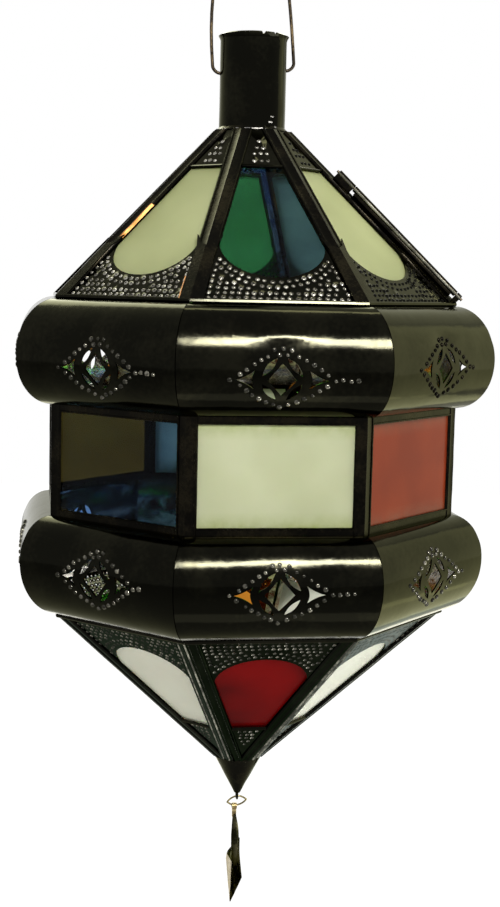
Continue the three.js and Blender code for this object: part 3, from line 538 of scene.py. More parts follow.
def sheetDots(panel, look, draw):
    window = look["window"]
    wide = panel.half(window["shoulder"]) - look["margin"]
    drop = window["archEnd"] - window["shoulder"]
    side = math.copysign(1, drop)
    edge = panel.length if side > 0 else 0.0
    pitch, clear = look["pitch"], look["clear"]

    def room(y):
        return panel.half(y) - look["ribHalf"] - clear

    def allowed(x, y):
        away = abs(edge - y)
        inArch = (x / (wide + clear)) ** 2 + ((y - window["shoulder"]) / (abs(drop) + clear)) ** 2 < 1
        beyond = (y - window["shoulder"]) * side < -1.5
        return away >= look["firstRow"] - 0.1 and abs(x) <= room(y) and not inArch and not beyond

    def row(y, step):
        count = int(2 * room(y) / step)
        return [((i - count / 2) * step, y) for i in range(count + 1)]

    candidates = row(edge - side * look["firstRow"], pitch)
    for offset in look["archRows"]:
        broad, deep = wide + offset, abs(drop) + offset
        count = int(math.pi * math.hypot(broad, deep) / math.sqrt(2) / pitch)
        candidates += [(broad * math.cos(math.pi * i / count),
                        window["shoulder"] + side * deep * math.sin(math.pi * i / count))
                       for i in range(count + 1)]
    columns = int(abs(edge - window["shoulder"]) / pitch)
    for i in range(columns + 1):
        y = edge - side * (look["firstRow"] + i * pitch)
        candidates += [(room(y), y), (-room(y), y)]
    for i in range(1, 14):
        candidates += row(edge - side * (look["firstRow"] + i * look["rowStep"]), pitch * 0.5)
    placed = []
    for x, y in candidates:
        near = any((x - a) ** 2 + (y - b) ** 2 < look["spacing"] ** 2 for a, b in placed)
        if allowed(x, y) and not near:
            placed.append((x, y))
    for y, count in look["farRows"]:
        placed += [((i - (count - 1) / 2) * look["farPitch"], y) for i in range(count)]
    loose = look["loose"]
    return [(x + draw.uniform(-loose, loose), y + draw.uniform(-loose, loose)) for x, y in placed]


def piercedSheet(outlinePoints, windowPoints, dots, look, draw):
    bm = bmesh.new()
    edges = addLoop(bm, outlinePoints) + addLoop(bm, windowPoints)
    rims = []
    for x, y in dots:
        radius = look["dotRadius"] * draw.uniform(0.86, 1.12)
        rims.append((Vector((x, y, 0)), addRim(bm, x, y, radius)))
    fillSheet(bm, edges, rims, look["dotSteps"])
    return bm


def trapezium(panel, low, high, inset):
    bottom, top = panel.half(low) - inset, panel.half(high) - inset
    return [(-bottom, low), (bottom, low), (top, high), (-top, high)]


roof = {
    "window": {"archEnd": 17.0, "shoulder": 38.0, "flatEnd": 94.5}, "margin": 6.1, "ribHalf": 5.4,
    "dotRadius": 1.12, "dotSteps": [(0.86, 0.12), (0.8, 0.22), (0.6, 0.1)], "pitch": 3.6, "clear": 1.75,
    "shadedPanels": (1, 2), "metal": iron, "dots": litBurnish, "firstRow": 3.3, "rowStep": 3.2,
    "archRows": (2.9, 6.3), "spacing": 3.05, "loose": 0.28,
    "farRows": [(99.5, 3), (104.8, 3), (109.3, 2), (114.2, 1)], "farPitch": 3.3,
    "sheetInset": 1.2, "sheetTop": 1.0,
}
cone = {
    "window": {"archEnd": 109.0, "shoulder": 88.0, "flatEnd": 36.5}, "margin": 6.9, "ribHalf": 6.5,
    "dotRadius": 1.05, "dotSteps": [(0.76, -0.32), (0.55, -0.5)], "pitch": 3.4, "clear": 1.7,
    "shadedPanels": (), "metal": coneIron, "dots": beadIron, "firstRow": 3.4, "rowStep": 3.1,
    "archRows": (2.8, 6.0), "spacing": 2.95, "loose": 0.3,
    "farRows": [(33.0, 4), (29.4, 3), (25.8, 3), (22.2, 2), (18.6, 1)], "farPitch": 3.1,
    "sheetInset": 1.2, "sheetTop": 0.6,
}


def sheetPart(panel, look, draw):
    outlinePoints = trapezium(panel, 0.2, panel.length - look["sheetTop"], look["sheetInset"])
    return piercedSheet(outlinePoints, windowLoop(panel, look), sheetDots(panel, look, draw), look, draw)


def buildSheets(name, panel, look, node, skipped=()):
    whole = bmesh.new()
    for index in range(lantern["sides"]):
        if index in skipped:
            continue
        draw = random.Random(lantern["seed"] + 17 * index)
        part = sheetPart(panel, look, draw)
        # painted shade: the dots of these panels take the near-black copy
        if index in look["shadedPanels"]:
            for face in part.faces:
                face.material_index *= 2
        addPart(whole, part, panel.place(index))
    finishPiece(name, whole, [look["metal"], look["dots"], shadedDots], "lantern", [node],
                sheet, 38, bareTin)


buildSheets("roof_sheets", roofPanel, roof, "roof_shell", [lantern["doorPanel"]])
buildSheets("cone_sheets", conePanel, cone, "lower_shell")
print("pierced sheets made")

# Folded strips over the corners: (distance from the corner, height above the panel)
strips = {
    "roof": [(0, 1.25), (0.55, 0.95), (3.9, 0.9), (4.15, 1.3), (4.9, 1.35), (5.25, 1.0), (5.35, 0.15)],
    "cone": [(0, 0.5), (0.7, 0.55), (1.3, 1.25), (2.4, 1.35), (3.0, 0.8), (4.6, 0.75), (5.1, 1.25),
             (6.1, 1.3), (6.4, 0.95), (6.5, 0.15)],
    "roofEnds": (0.4, 0.6), "coneEnds": (0.6, 0.4),      # left free at the foot and the head
    "cuts": 24, "wave": (0.07, 12), "sheenFrom": 0.45, "wall": 0.6,
}


def buildStrips(name, panel, kind, node, finishes):
    whole = bmesh.new()
    start, short = strips[kind + "Ends"]
    for index in range(lantern["sides"]):
        for mirrored in (False, True):
            part = panel.halfStrip(strips[kind], start, panel.length - short, strips["cuts"])
            for face in part.faces:
                # painted highlight: the facets that face sideways on each fold take the light finish
                face.material_index = int(face.normal.x > strips["sheenFrom"])
            addPart(whole, part, panel.place(index), mirrored)
    bmesh.ops.remove_doubles(whole, verts=whole.verts, dist=0.02)
    wobble(whole, *strips["wave"], len(name))
    finishPiece(name, whole, finishes, "lantern", [node], strips["wall"], 30)


buildStrips("roof_ribs", roofPanel, "roof", "roof_shell", [ribIron, ribIron])
buildStrips("cone_ribs", conePanel, "cone", "lower_shell", [coneIron, sheenEdge])
print("corner strips made")


# Half-round rings
class RingCurve:
    def __init__(self, look, steps=200):
        topFlat, bottomFlat = flatOf(look["topRadius"]), flatOf(look["bottomRadius"])
        self.topFlat, self.bottomFlat = topFlat, bottomFlat
        self.topZ, self.bottomZ = look["topZ"], look["bottomZ"]
        middle, halfHeight = (self.topZ + self.bottomZ) / 2, (self.topZ - self.bottomZ) / 2
        self.points = []
        for i in range(steps + 1):
            angle = math.pi * i / steps
            base = topFlat + (bottomFlat - topFlat) * (1 - math.cos(angle)) / 2
            self.points.append(Vector((base + look["depth"] * math.sin(angle),
                                       middle + halfHeight * math.cos(angle))))
        self.lengths = [0.0]
        for first, second in zip(self.points, self.points[1:]):
            self.lengths.append(self.lengths[-1] + (second - first).length)
        self.total = self.lengths[-1]

    def at(self, y):      # y is 0 at the top edge and falls along the sheet
        if y > 0:
            return Vector((self.topFlat - y, self.topZ)), Vector((0, 1))
        if y < -self.total:
            return Vector((self.bottomFlat + self.total + y, self.bottomZ)), Vector((0, -1))
        index = min(max(bisect.bisect(self.lengths, -y) - 1, 0), len(self.points) - 2)
        first, second = self.points[index], self.points[index + 1]
        share = (-y - self.lengths[index]) / (self.lengths[index + 1] - self.lengths[index])
        step = (second - first).normalized()
        return first.lerp(second, share), Vector((-step.y, step.x))

    def alongAt(self, height):
        return next(-length for length, point in zip(self.lengths, self.points) if point.y <= height)

    def bend(self, bm):
        for vert in bm.verts:
            x, y, height = vert.co
            point, normal = self.at(y)
            point = point + normal * height
            vert.co = Vector((x, -point.x, point.y))


upperRing = {
    "topRadius": lantern["roofBaseRadius"], "bottomRadius": lantern["bandRadius"], "depth": 19.4,
    "topZ": roofBaseZ - lantern["gap"], "bottomZ": bandTopZ, "motifDrop": 7.6,
    "diamond": (6.8, 7.9), "shift": -1.5, "pressDrop": 16.6, "dent": 0.45,
    "footSheen": (0, 0), "shadedPanels": (1, 2),
    "astray": {1: (0, 4.4), 7: (3.6, 1.4)},      # panels whose openings lie off the common place: aside, up
}
lowerRing = {
    "topRadius": lantern["bandRadius"], "bottomRadius": lantern["coneRadius"], "depth": 17.8,
    "topZ": bandBottomZ, "bottomZ": coneTopZ + lantern["gap"], "motifDrop": 0.0,
    "diamond": (7.4, 8.2), "shift": 0.0, "pressDrop": 10.4, "dent": 0.0,
    "footSheen": (2.2, 8.2), "astray": {}, "shadedPanels": (),
}
motif = {
    "petalGap": 1.8, "petalWidth": 3.2, "petalShare": 1.06, "petalSteps": 6,
    "earStart": 13.0, "earEnd": 22.5, "earHalf": 4.5, "earBow": 1.3, "earWaist": 0.7,
    "beadApex": 14.4, "beadLeft": 22.6, "beadRight": 25.0, "beadTail": 36.0, "beadCount": 7,
    "beadRadius": 1.35, "beadPitch": 3.6, "innerBeads": 10.4, "beadRoom": 0.3,
    "beadSteps": [(0.88, 0.35), (0.75, 0.3), (0.575, 0.17)], "flange": 5.0, "rows": 40, "columns": 14,
    "warp": 0.2, "press": 0.15, "pressHalf": 5.0, "dentHalf": (14.0, 8.0),
    "mitre": 0.2, "seamDepth": 0.95, "seamHalf": 3.5, "reach": 58.0, "tries": 9, "step": 1.025,
}


def lens(length, width, steps):
    bow = [math.sin(math.pi * i / steps) * width / 2 for i in range(steps + 1)]
    places = [length * (i / steps - 0.5) for i in range(steps + 1)]
    return list(zip(places, bow)) + [(x, -b) for x, b in list(zip(places, bow))[-2:0:-1]]


def motifLoops(halfWidth, halfHeight):
    loops = [[(-halfWidth, 0), (0, -halfHeight), (halfWidth, 0), (0, halfHeight)]]
    side = math.hypot(halfWidth, halfHeight)
    slope = math.atan2(halfHeight, halfWidth)
    for right in (1, -1):
        for up in (1, -1):
            spin = Matrix.Rotation(math.atan2(-up * math.sin(slope), right * math.cos(slope)), 2)
            out = Vector((right * math.sin(slope), up * math.cos(slope)))
            middle = Vector((right * halfWidth / 2, up * halfHeight / 2)) + out * (
                motif["petalGap"] + motif["petalWidth"] / 2)
            petal = lens(side * motif["petalShare"], motif["petalWidth"], motif["petalSteps"])
            loops.append([tuple(spin @ Vector(point) + middle) for point in petal])
        wide = [(motif["earStart"] + motif["earBow"] * math.cos(math.pi * k / 8), motif["earHalf"] * k / 4)
                for k in range(-4, 5)]
        start, end = Vector((motif["earStart"], motif["earHalf"])), Vector((motif["earEnd"], 0))
        arm = [start.lerp(end, k / 5) - Vector((0, motif["earWaist"] * math.sin(math.pi * k / 5)))
               for k in range(1, 5)]
        ear = wide + [tuple(spot) for spot in arm] + [tuple(end)] + [(x, -y) for x, y in reversed(arm)]
        loops.append([(right * x, y) for x, y in ear])
    return loops


def beadPlaces(draw):
    apex, count = motif["beadApex"], motif["beadCount"]
    places = [(-1.4, motif["innerBeads"]), (1.8, motif["innerBeads"] + 0.2),
              (0, apex + 0.6), (0, -apex - 0.3)]
    for up in (1, -1):
        for right, end in ((1, motif["beadRight"]), (-1, motif["beadLeft"])):
            for i in range(1, count):
                share = i / count
                bow = 1.2 * math.sin(math.pi * share)
                places.append((right * (end * share + bow * 0.5), up * (apex * (1 - share) + bow)))
    places += [(-motif["beadLeft"] - 0.4, 0), (motif["beadRight"] + 0.4, 0)]
    tail = int((motif["beadTail"] - motif["beadRight"]) / motif["beadPitch"])
    for i in range(tail - draw.choice((0, 0, 1, 2))):
        places.append((motif["beadRight"] + 0.4 + motif["beadPitch"] * (i + 1), draw.uniform(-0.6, 0.6)))
    return [Vector((x + draw.uniform(-0.3, 0.3), y + draw.uniform(-0.3, 0.3))) for x, y in places]


def nearest(spot, loop):      # distance from a spot to the outline of an opening
    away = []
    for first, second in zip(loop, loop[1:] + loop[:1]):
        start, line = Vector(first), Vector(second) - Vector(first)
        share = min(max((spot - start).dot(line) / line.length_squared, 0), 1)
        away.append((spot - start - line * share).length)
    return min(away)


def settleBeads(draw, loops):      # beads move outwards until they are clear of the openings and each other
    settled = []
    for spot in beadPlaces(draw):
        radius = motif["beadRadius"] * draw.uniform(0.8, 1.12)
        for _ in range(motif["tries"]):
            isFree = all(nearest(spot, loop) > radius + motif["beadRoom"] for loop in loops)
            if isFree and all((spot - other).length > radius + size + 0.25 for other, size in settled):
                settled.append((spot, radius))
                break
            spot = spot * motif["step"]
    return settled


def ringPart(look, curve, index, draw):
    aside, lift = look["astray"].get(index, (0, 0))
    middle = curve.alongAt((curve.topZ + curve.bottomZ) / 2 - look["motifDrop"] + lift)
    shift = Vector((look["shift"] + aside + draw.uniform(-1, 1), middle))
    reach, flange = motif["reach"], motif["flange"]
    bm = bmesh.new()
    edges = addLoop(bm, [(-reach, flange), (-reach, -curve.total - flange),
                         (reach, -curve.total - flange), (reach, flange)])
    loops = motifLoops(*look["diamond"])
    for loop in loops:
        edges += addLoop(bm, [(x + shift.x, y + shift.y) for x, y in loop])
    rims = []
    for spot, radius in settleBeads(draw, loops):
        x, y = spot + shift
        rims.append((Vector((x, y, 0)), addRim(bm, x, y, radius)))
    fillSheet(bm, edges, rims, motif["beadSteps"], closed=True)
    rows = [-curve.total * i / motif["rows"] for i in range(motif["rows"] + 1)]
    columns = [reach * (2 * i / motif["columns"] - 1) for i in range(1, motif["columns"])]
    for place, way in [((0, y, 0), (0, 1, 0)) for y in rows] + [((x, 0, 0), (1, 0, 0)) for x in columns]:
        cutThrough(bm, place, way, 0.01)
    for face in bm.faces:      # painted reflection: a light band along the foot
        if look["footSheen"][0] < face.calc_center_median().y + curve.total < look["footSheen"][1]:
            face.material_index = 2
    seed = draw.uniform(0, 50)
    pressed = curve.alongAt(curve.topZ - look["pressDrop"])
    for vert in bm.verts:
        if -curve.total < vert.co.y < 0:
            fade = math.sin(math.pi * -vert.co.y / curve.total)
            vert.co.z += fade * motif["warp"] * noise.noise(Vector((vert.co.x / 24, vert.co.y / 15, seed)))
            rolled = fadeOut(abs(vert.co.y - pressed) / motif["pressHalf"])      # flattened by the roller
            vert.co.z -= motif["press"] * rolled
            wide, tall = motif["dentHalf"]
            away = math.hypot((vert.co.x - shift.x) / wide, (vert.co.y - middle - motif["beadApex"]) / tall)
            vert.co.z -= look["dent"] * fadeOut(away)
    curve.bend(bm)
    for side in (1, -1):
        out = Vector((side * math.cos(halfTurn), math.sin(halfTurn), 0))
        cutThrough(bm, -motif["mitre"] * out, out, 0.001, True)
    return bm


def seamPart(curve):      # strip behind the seam between two ring panels, soldered to both; its light finish shows through the gap as a painted highlight line
    points = []
    for i in range(41):
        point, normal = curve.at(-curve.total * (0.01 + 0.98 * i / 40))
        point = point - normal * motif["seamDepth"]
        points.append((point.x * math.tan(halfTurn), -point.x, point.y))
    part = faceOut(drawn(points, (-motif["seamHalf"], 0, 0)), Vector((0, -1, 0)))
    # painted highlight: the strip takes the light finish
    for face in part.faces:
        face.material_index = 2
    return part


def buildRing(name, look, seed):
    curve = RingCurve(look)
    for index in range(lantern["sides"]):
        draw = random.Random(lantern["seed"] + seed + index)
        whole = bmesh.new()
        aside = Matrix.Rotation(index * turn, 4, "Z")
        addPart(whole, ringPart(look, curve, index, draw), aside)
        for mirrored in (False, True):
            addPart(whole, seamPart(curve), aside, mirrored)
        # painted shade: the beads of the panels turned away take the darker rib finish
        beads = ribIron if index in look["shadedPanels"] else beadIron
        finishPiece(f"{name}_ring_{index}", whole, [iron, beads, sheenEdge], "lantern",
                    [f"{name}_bulge_{index}"], sheet, 38, bareTin)


buildRing("upper", upperRing, 100)
buildRing("lower", lowerRing, 200)
print("rings made")

# Flat gussets over the lower ends of the roof's ribs, each with a horn standing up at either side
gusset = {"lowHalf": 6.6, "highHalf": 5.2, "hornTop": 43.5, "hornHalf": 7.0, "hornFoot": 38.5,
          "creaseTop": 36.5, "height": 1.6, "wall": 0.5, "wave": (0.07, 14)}


def gussetPart(panel):
    lean, height = math.cos(panel.taper), gusset["height"]
    bm = bmesh.new()
    foot, tip, half, tipHalf = (gusset[key] for key in ("hornFoot", "hornTop", "highHalf", "hornHalf"))
    spots = [(0.3, 0), (0.3, gusset["lowHalf"]), (foot - 3.5, half), (tip, tipHalf),
             (tip - 0.6, tipHalf - 1.0), (foot, half - 1.2), (gusset["creaseTop"], 0)]
    bm.faces.new([bm.verts.new((panel.corner(along, height) - away / lean, along, height))
                  for along, away in spots])
    for i in range(1, 14):
        cutThrough(bm, (0, 3 * i, 0), (0, 1, 0), 0.0)
    return faceOut(bm)


def buildGussets():
    whole = bmesh.new()
    for index in range(lantern["sides"]):
        for mirrored in (False, True):
            addPart(whole, gussetPart(roofPanel), roofPanel.place(index), mirrored)
    bmesh.ops.remove_doubles(whole, verts=whole.verts, dist=0.02)
    wobble(whole, *gusset["wave"], 11)
    finishPiece("roof_gussets", whole, [ribIron], "lantern", ["roof_shell"],
                gusset["wall"], 25)


buildGussets()

# Painted highlights beside two ribs, as bronze-coloured streaks: panel, side, start and end up the slope,
# distance from the corner
streaks = [(7, False, 0.8, 15.0, 6.0), (7, True, 42.0, 66.0, 5.2)]


def buildStreaks():
    whole = bmesh.new()
    for index, mirrored, low, high, away in streaks:
        height = gusset["height"]
        section = [(away, height + 0.15), (away + 0.55, height + 0.1), (away + 0.9, 0.4)]
        addPart(whole, roofPanel.halfStrip(section, low, high, 10), roofPanel.place(index), mirrored)
    wobble(whole, 0.15, 4, 6)
    finishPiece("roof_streaks", whole, [bronzeGlint], "lantern", ["roof_shell"], 0.3, 40)


buildStreaks()

# Rolled hems round the foot of the roof and the top of the cone, and the folded head of each roof window
hems = {"section": [(-0.1, -1.15), (0.7, -1.1), (1.2, -0.5), (0.87, 0.57), (0.4, 0.98), (-0.1, 1.1)],
        "cuts": 30, "inset": 0.9, "ledgeHeight": 0.9, "ledgeDepth": 1.1, "wave": (0.09, 30), "wall": 0.3}


def hemPart(cornerRadius, height):
    reach = (cornerRadius + 0.6) * math.sin(halfTurn)
    points = [(-reach, -flatOf(cornerRadius) - out, height + up) for out, up in hems["section"]]
    return faceOut(drawn(points, (2 * reach, 0, 0), hems["cuts"]), Vector((0, -1, 0)))


def ledgePart(panel, look):
    along = look["window"]["flatEnd"]
    reach = panel.half(along) - look["margin"] + 0.4
    low, high, deep = along - 0.3, along + hems["ledgeHeight"], hems["ledgeDepth"]
    points = [(-reach, low, -0.7), (-reach, low, deep * 0.6), (-reach, low + 0.4, deep),
              (-reach, high, deep * 0.8), (-reach, high + 0.6, 0.0)]
    return faceOut(drawn(points, (2 * reach, 0, 0), 6))


def buildHems():
    roofHem, coneHem = bmesh.new(), bmesh.new()
    for index in range(lantern["sides"]):
        aside = Matrix.Rotation(index * turn, 4, "Z")
        addPart(roofHem, hemPart(lantern["roofBaseRadius"], roofBaseZ + hems["inset"]), aside)
        addPart(coneHem, hemPart(lantern["coneRadius"], coneTopZ - hems["inset"]), aside)
        if index != lantern["doorPanel"]:
            addPart(roofHem, ledgePart(roofPanel, roof), roofPanel.place(index))
        addPart(coneHem, ledgePart(conePanel, cone), conePanel.place(index))
    plans = [("roof_hem", roofHem, "roof_shell", 21), ("cone_hem", coneHem, "lower_shell", 22)]
    for name, bm, node, seed in plans:
        wobble(bm, *hems["wave"], seed)
        finishPiece(name, bm, [iron], "lantern", [node], hems["wall"], 14)


buildHems()

# Frame of the window band: posts folded over the corners, a rail above and below each pane
band = {
    "rail": 3.8, "railInset": 5.0, "wave": (0.12, 9), "wall": 0.6,
    "post": [(0, 0.12), (0.4, 0.02), (4.2, 0.0), (4.45, 0.42), (5.2, 0.45), (5.5, 0.15), (5.55, -0.75)],
    "railSection": [(0.0, 0.0), (2.8, 0.0), (3.0, 0.34), (3.6, 0.36), (3.8, 0.1), (3.82, -0.75)],
}


def buildBand():
    whole = bmesh.new()
    length = bandPanel.length
    reach = bandPanel.half(0) - band["railInset"]
    for index in range(lantern["sides"]):
        place = bandPanel.place(index)
        for mirrored in (False, True):
            addPart(whole, bandPanel.halfStrip(band["post"], 0.0, length, 16), place, mirrored)
        low = [(-reach, y, z) for y, z in band["railSection"]]
        high = [(-reach, length - y, z) for y, z in band["railSection"]]
        for points in (low, high):
            addPart(whole, faceOut(drawn(points, (2 * reach, 0, 0), 12)), place)
    bmesh.ops.remove_doubles(whole, verts=whole.verts, dist=0.02)
    wobble(whole, *band["wave"], 31)
    finishPiece("band_frame", whole, [ribIron], "lantern", ["window_frame"],
                band["wall"], 30)


buildBand()

# Small bent lugs that hold the panes behind the sheets
lug = {"half": 2.6, "sheet": 0.7, "grip": 1.2, "foot": 0.5, "paneBack": 3.1, "cover": 1.8}


def lugPart(edge, outward):
    back, foot = -lug["paneBack"] - lug["sheet"] / 2, edge + outward * lug["foot"]
    points = [(-lug["half"], foot, -lug["foot"]), (-lug["half"], foot, back),
              (-lug["half"], edge - outward * lug["grip"], back)]
    return drawn(points, (2 * lug["half"], 0, 0))


def buildLugs():
    above, below = roof["window"], cone["window"]
    plans = [("roof_lugs", roofPanel, above["archEnd"], above["flatEnd"], "roof_shell"),
             ("cone_lugs", conePanel, below["flatEnd"], below["archEnd"], "lower_shell"),
             ("band_lugs", bandPanel, band["rail"], bandPanel.length - band["rail"], "window_frame")]
    for name, panel, low, high, node in plans:
        whole = bmesh.new()
        for index in range(lantern["sides"]):
            if panel is roofPanel and index == lantern["doorPanel"]:
                continue
            addPart(whole, lugPart(low - lug["cover"], -1), panel.place(index))
            if panel is not roofPanel:      # the folded head holds the roof's panes above
                addPart(whole, lugPart(high + lug["cover"], 1), panel.place(index))
        finishPiece(name, whole, [iron], "lantern", [node], lug["sheet"], 30)


buildLugs()
print("band frame, hems and lugs made")

# Neck: one sheet rolled into a tube, with a flared and notched rim and two holes for the bail
neck = {
    "radius": 17.8, "flare": 1.1, "rim": 2.6, "seat": 3.0, "wall": 0.9, "pivotDepth": 20.0,
    "holeRadius": 1.25, "notches": [(2.6, 1.1, 0.9), (9.2, 0.8, 0.7), (-31.0, 1.3, 0.8)], "footReach": 1.5,
    "columns": 40, "rows": (0.4, 1.0, 1.7, 2.6, 6, 14, 26, 38, 46, 49), "footWave": (0.35, 2.2),
}


def buildNeck():
    height = rimZ - roofTopZ
    around = math.pi * neck["radius"]
    top = [(around, 0.0), (-around, 0.0)]
    for x, half, deep in sorted(neck["notches"], reverse=True):
        top[-1:-1] = [(x + half, 0.0), (x + half * 0.4, -deep), (x - half * 0.4, -deep), (x - half, 0.0)]
    bm = bmesh.new()
    edges = addLoop(bm, [(-around, -height - neck["seat"]), (around, -height - neck["seat"])] + top)
    for side in (1, -1):
        edges += addRim(bm, side * around / 2, -neck["pivotDepth"], neck["holeRadius"], 14)
    bmesh.ops.triangle_fill(bm, use_beauty=True, use_dissolve=False, normal=(0, 0, 1), edges=edges)
    columns = neck["columns"]
    planes = [((around * (2 * i / columns - 1), 0, 0), (1, 0, 0)) for i in range(1, columns)]
    for place, way in planes + [((0, -y, 0), (0, 1, 0)) for y in neck["rows"]]:
        cutThrough(bm, place, way)
    faceOut(bm)
    for vert in bm.verts:
        x, y, lift = vert.co
        rim = max(0.0, 1 + y / neck["rim"])
        radius = neck["radius"] + neck["flare"] * rim ** 1.6 + 0.1 * noise.noise(Vector((x / 9, y / 14, 3)))
        angle = x / neck["radius"]
        vert.co = Vector((radius * math.sin(angle), -radius * math.cos(angle), rimZ + y))
    bmesh.ops.remove_doubles(bm, verts=bm.verts, dist=0.01)
    finishPiece("neck_sheet", bm, [iron, litBurnish], "lantern", ["neck_tube"],
                neck["wall"], 35)
    foot = turnedPart([(neck["radius"] - 0.2, roofTopZ + 2.3), (neck["radius"] + 0.5, roofTopZ + 1.5),
                       (neck["radius"] + neck["footReach"], roofTopZ + 0.3),
                       (neck["radius"] - 0.2, roofTopZ + 0.3)], 64)
    wobble(foot, *neck["footWave"], 8)
    finishPiece("neck_solder", foot, [ribIron], "lantern", ["neck_tube"])


buildNeck()


def wirePart(points, radius, cyclic=False, steps=12):    # points of (place, handle before, handle after)
    curve = bpy.data.curves.new("wire", "CURVE")
    curve.dimensions, curve.resolution_u = "3D", steps
    curve.bevel_depth, curve.bevel_resolution, curve.use_fill_caps = radius, 3, True
    spline = curve.splines.new("BEZIER")
    spline.bezier_points.add(len(points) - 1)
    spline.use_cyclic_u = cyclic
    for spot, (place, before, after) in zip(spline.bezier_points, points):
        spot.handle_left_type = spot.handle_right_type = "FREE"
        spot.co, spot.handle_left, spot.handle_right = place, before, after
    holder = bpy.data.objects.new("wire", curve)
    mesh = bpy.data.meshes.new_from_object(holder)
    bm = bmesh.new()
    bm.from_mesh(mesh)
    bpy.data.objects.remove(holder)
    bmesh.ops.remove_doubles(bm, verts=bm.verts, dist=0.001)
    bmesh.ops.recalc_face_normals(bm, faces=bm.faces)
    return bm


# Beads of solder round the neck's foot: degrees from and to, height over the foot, stand-out and size
joints = [(-20, 14, 0.3, 1.4, 0.45), (-34, -29, 0.2, 1.7, 0.4), (20, 27, 4.0, 0.2, 0.55),
          (24, 30, 7.0, 0.1, 0.4), (30, 34, 1.6, 0.8, 0.6), (-62, -52, 0.1, 1.6, 0.4)]


def buildJoints():
    whole = bmesh.new()
    for start, end, height, out, size in joints:
        radius, height = neck["radius"] + out, roofTopZ + height
        ways = [math.radians(angle) for angle in (start, end)]
        reach = 4 / 3 * math.tan((ways[1] - ways[0]) / 4) * radius
        spots = []
        for way in ways:
            spot = Vector((radius * math.sin(way), -radius * math.cos(way), height))
            ahead = Vector((math.cos(way), math.sin(way), 0)) * reach
            spots.append((spot, spot - ahead, spot + ahead))
        addPart(whole, wirePart(spots, size, False, 14))
    wobble(whole, 0.3, 1.6, 17)
    finishPiece("neck_joints", whole, [solder], "lantern", ["neck_tube"])


buildJoints()

# The bail's sides: which one, how far out its shoulder is and how far its bend lies above the holes
bail = {"wire": 0.9, "pivotDepth": 20.0, "stubEnd": 14.3, "legX": 22.0, "bend": 4.0, "drop": 24.0,
        "crownHalf": 13.0, "sides": ((-1, 27.0, 0.4), (1, 18.0, 3.2))}


def buildBail():
    pivot = rimZ - bail["pivotDepth"]
    crown = bail["wire"]
    points = []
    for side, shoulder, lift in bail["sides"]:
        foot = pivot + lift
        leg = side * bail["legX"]
        bend = leg - side * bail["bend"]
        soft = side * bail["bend"] * 0.45
        half = [((side * bail["stubEnd"], 0, pivot), (bend - soft, 0, pivot + lift * 0.5)),
                ((bend, 0, foot), (bend + soft, 0, foot)),
                ((leg, 0, foot + bail["bend"]), (side * shoulder, 0, -bail["drop"]))]
        before = [(side * bail["stubEnd"], 0, pivot), (bend - soft, 0, foot),
                  (leg, 0, foot + bail["bend"] * 0.5)]
        rows = [(place, back, ahead) for (place, ahead), back in zip(half, before)]
        points += rows if side < 0 else [(place, ahead, back) for place, back, ahead in reversed(rows)]
    points.insert(3, ((0, 0, crown), (-bail["crownHalf"], 0, crown), (bail["crownHalf"], 0, crown)))
    bm = wirePart(points, bail["wire"], False, 16)
    finishPiece("bail_wire", bm, [wireFinish], "bail", ["bail_handle"])


buildBail()
print("neck and bail made")

# Finial: a rolled cone of sheet with a small eye at its point, the ring and the folded leaf
finial = {"radius": 13.8, "point": 1.7, "wall": 0.9, "spigot": 5.0, "spigotRadius": 10.75, "solidTip": 4.5,
          "eye": 2.0, "eyeWire": 0.62, "eyeDrop": 1.9, "wave": (0.22, 6), "seam": 0.34, "seamAt": 48}


def ringAround(centre, radius, wire, steps=20):    # a closed round of wire about the X axis
    bm = bmesh.new()
    side, line = Vector((0, 0, 1)), Vector((1, 0, 0))
    facing = line.cross(side).to_track_quat("Z", "Y").to_matrix().to_4x4()
    rim = bmesh.ops.create_circle(bm, cap_ends=False, segments=8, radius=wire,
                                  matrix=Matrix.Translation(centre + side * radius) @ facing)["verts"]
    return spinRound(bm, rim + bm.edges[:], centre, line, steps)


def buildFinial():
    top = coneEndZ - lantern["gap"]
    bore = finial["spigotRadius"] - finial["wall"]
    slope = [(finial["point"] + (finial["radius"] - finial["point"]) * i / 9,
              finialTipZ + (top - finialTipZ) * i / 9) for i in range(10)]
    cup = turnedPart([(0.3, finialTipZ - 0.6), (1.1, finialTipZ - 0.4)] + slope + [
        (finial["radius"] - 0.5, top + 0.2), (finial["spigotRadius"], top),
        (finial["spigotRadius"], top + finial["spigot"]), (bore, top + finial["spigot"]),
        (bore, top - 1), (0.3, finialTipZ + finial["solidTip"])], 44)
    wobble(cup, *finial["wave"], 14)
    away, low = finial["radius"] + 0.05, finial["point"] + 0.1
    seam = wirePart([((0, -away, top - 0.4), (0, -away, top), (0, -away * 0.7, top - 7)),
                     ((0, -low, finialTipZ + 0.3), (0, -away * 0.35, finialTipZ + 8), (0, 0, finialTipZ))],
                    finial["seam"], False, 10)
    addPart(cup, seam, Matrix.Rotation(math.radians(finial["seamAt"]), 4, "Z"))
    eyeAt = Vector((0, 0, finialTipZ - finial["eyeDrop"]))
    addPart(cup, ringAround(eyeAt, finial["eye"], finial["eyeWire"]))
    finishPiece("finial_cup", cup, [ribIron], "lantern", ["finial_cone"])


buildFinial()

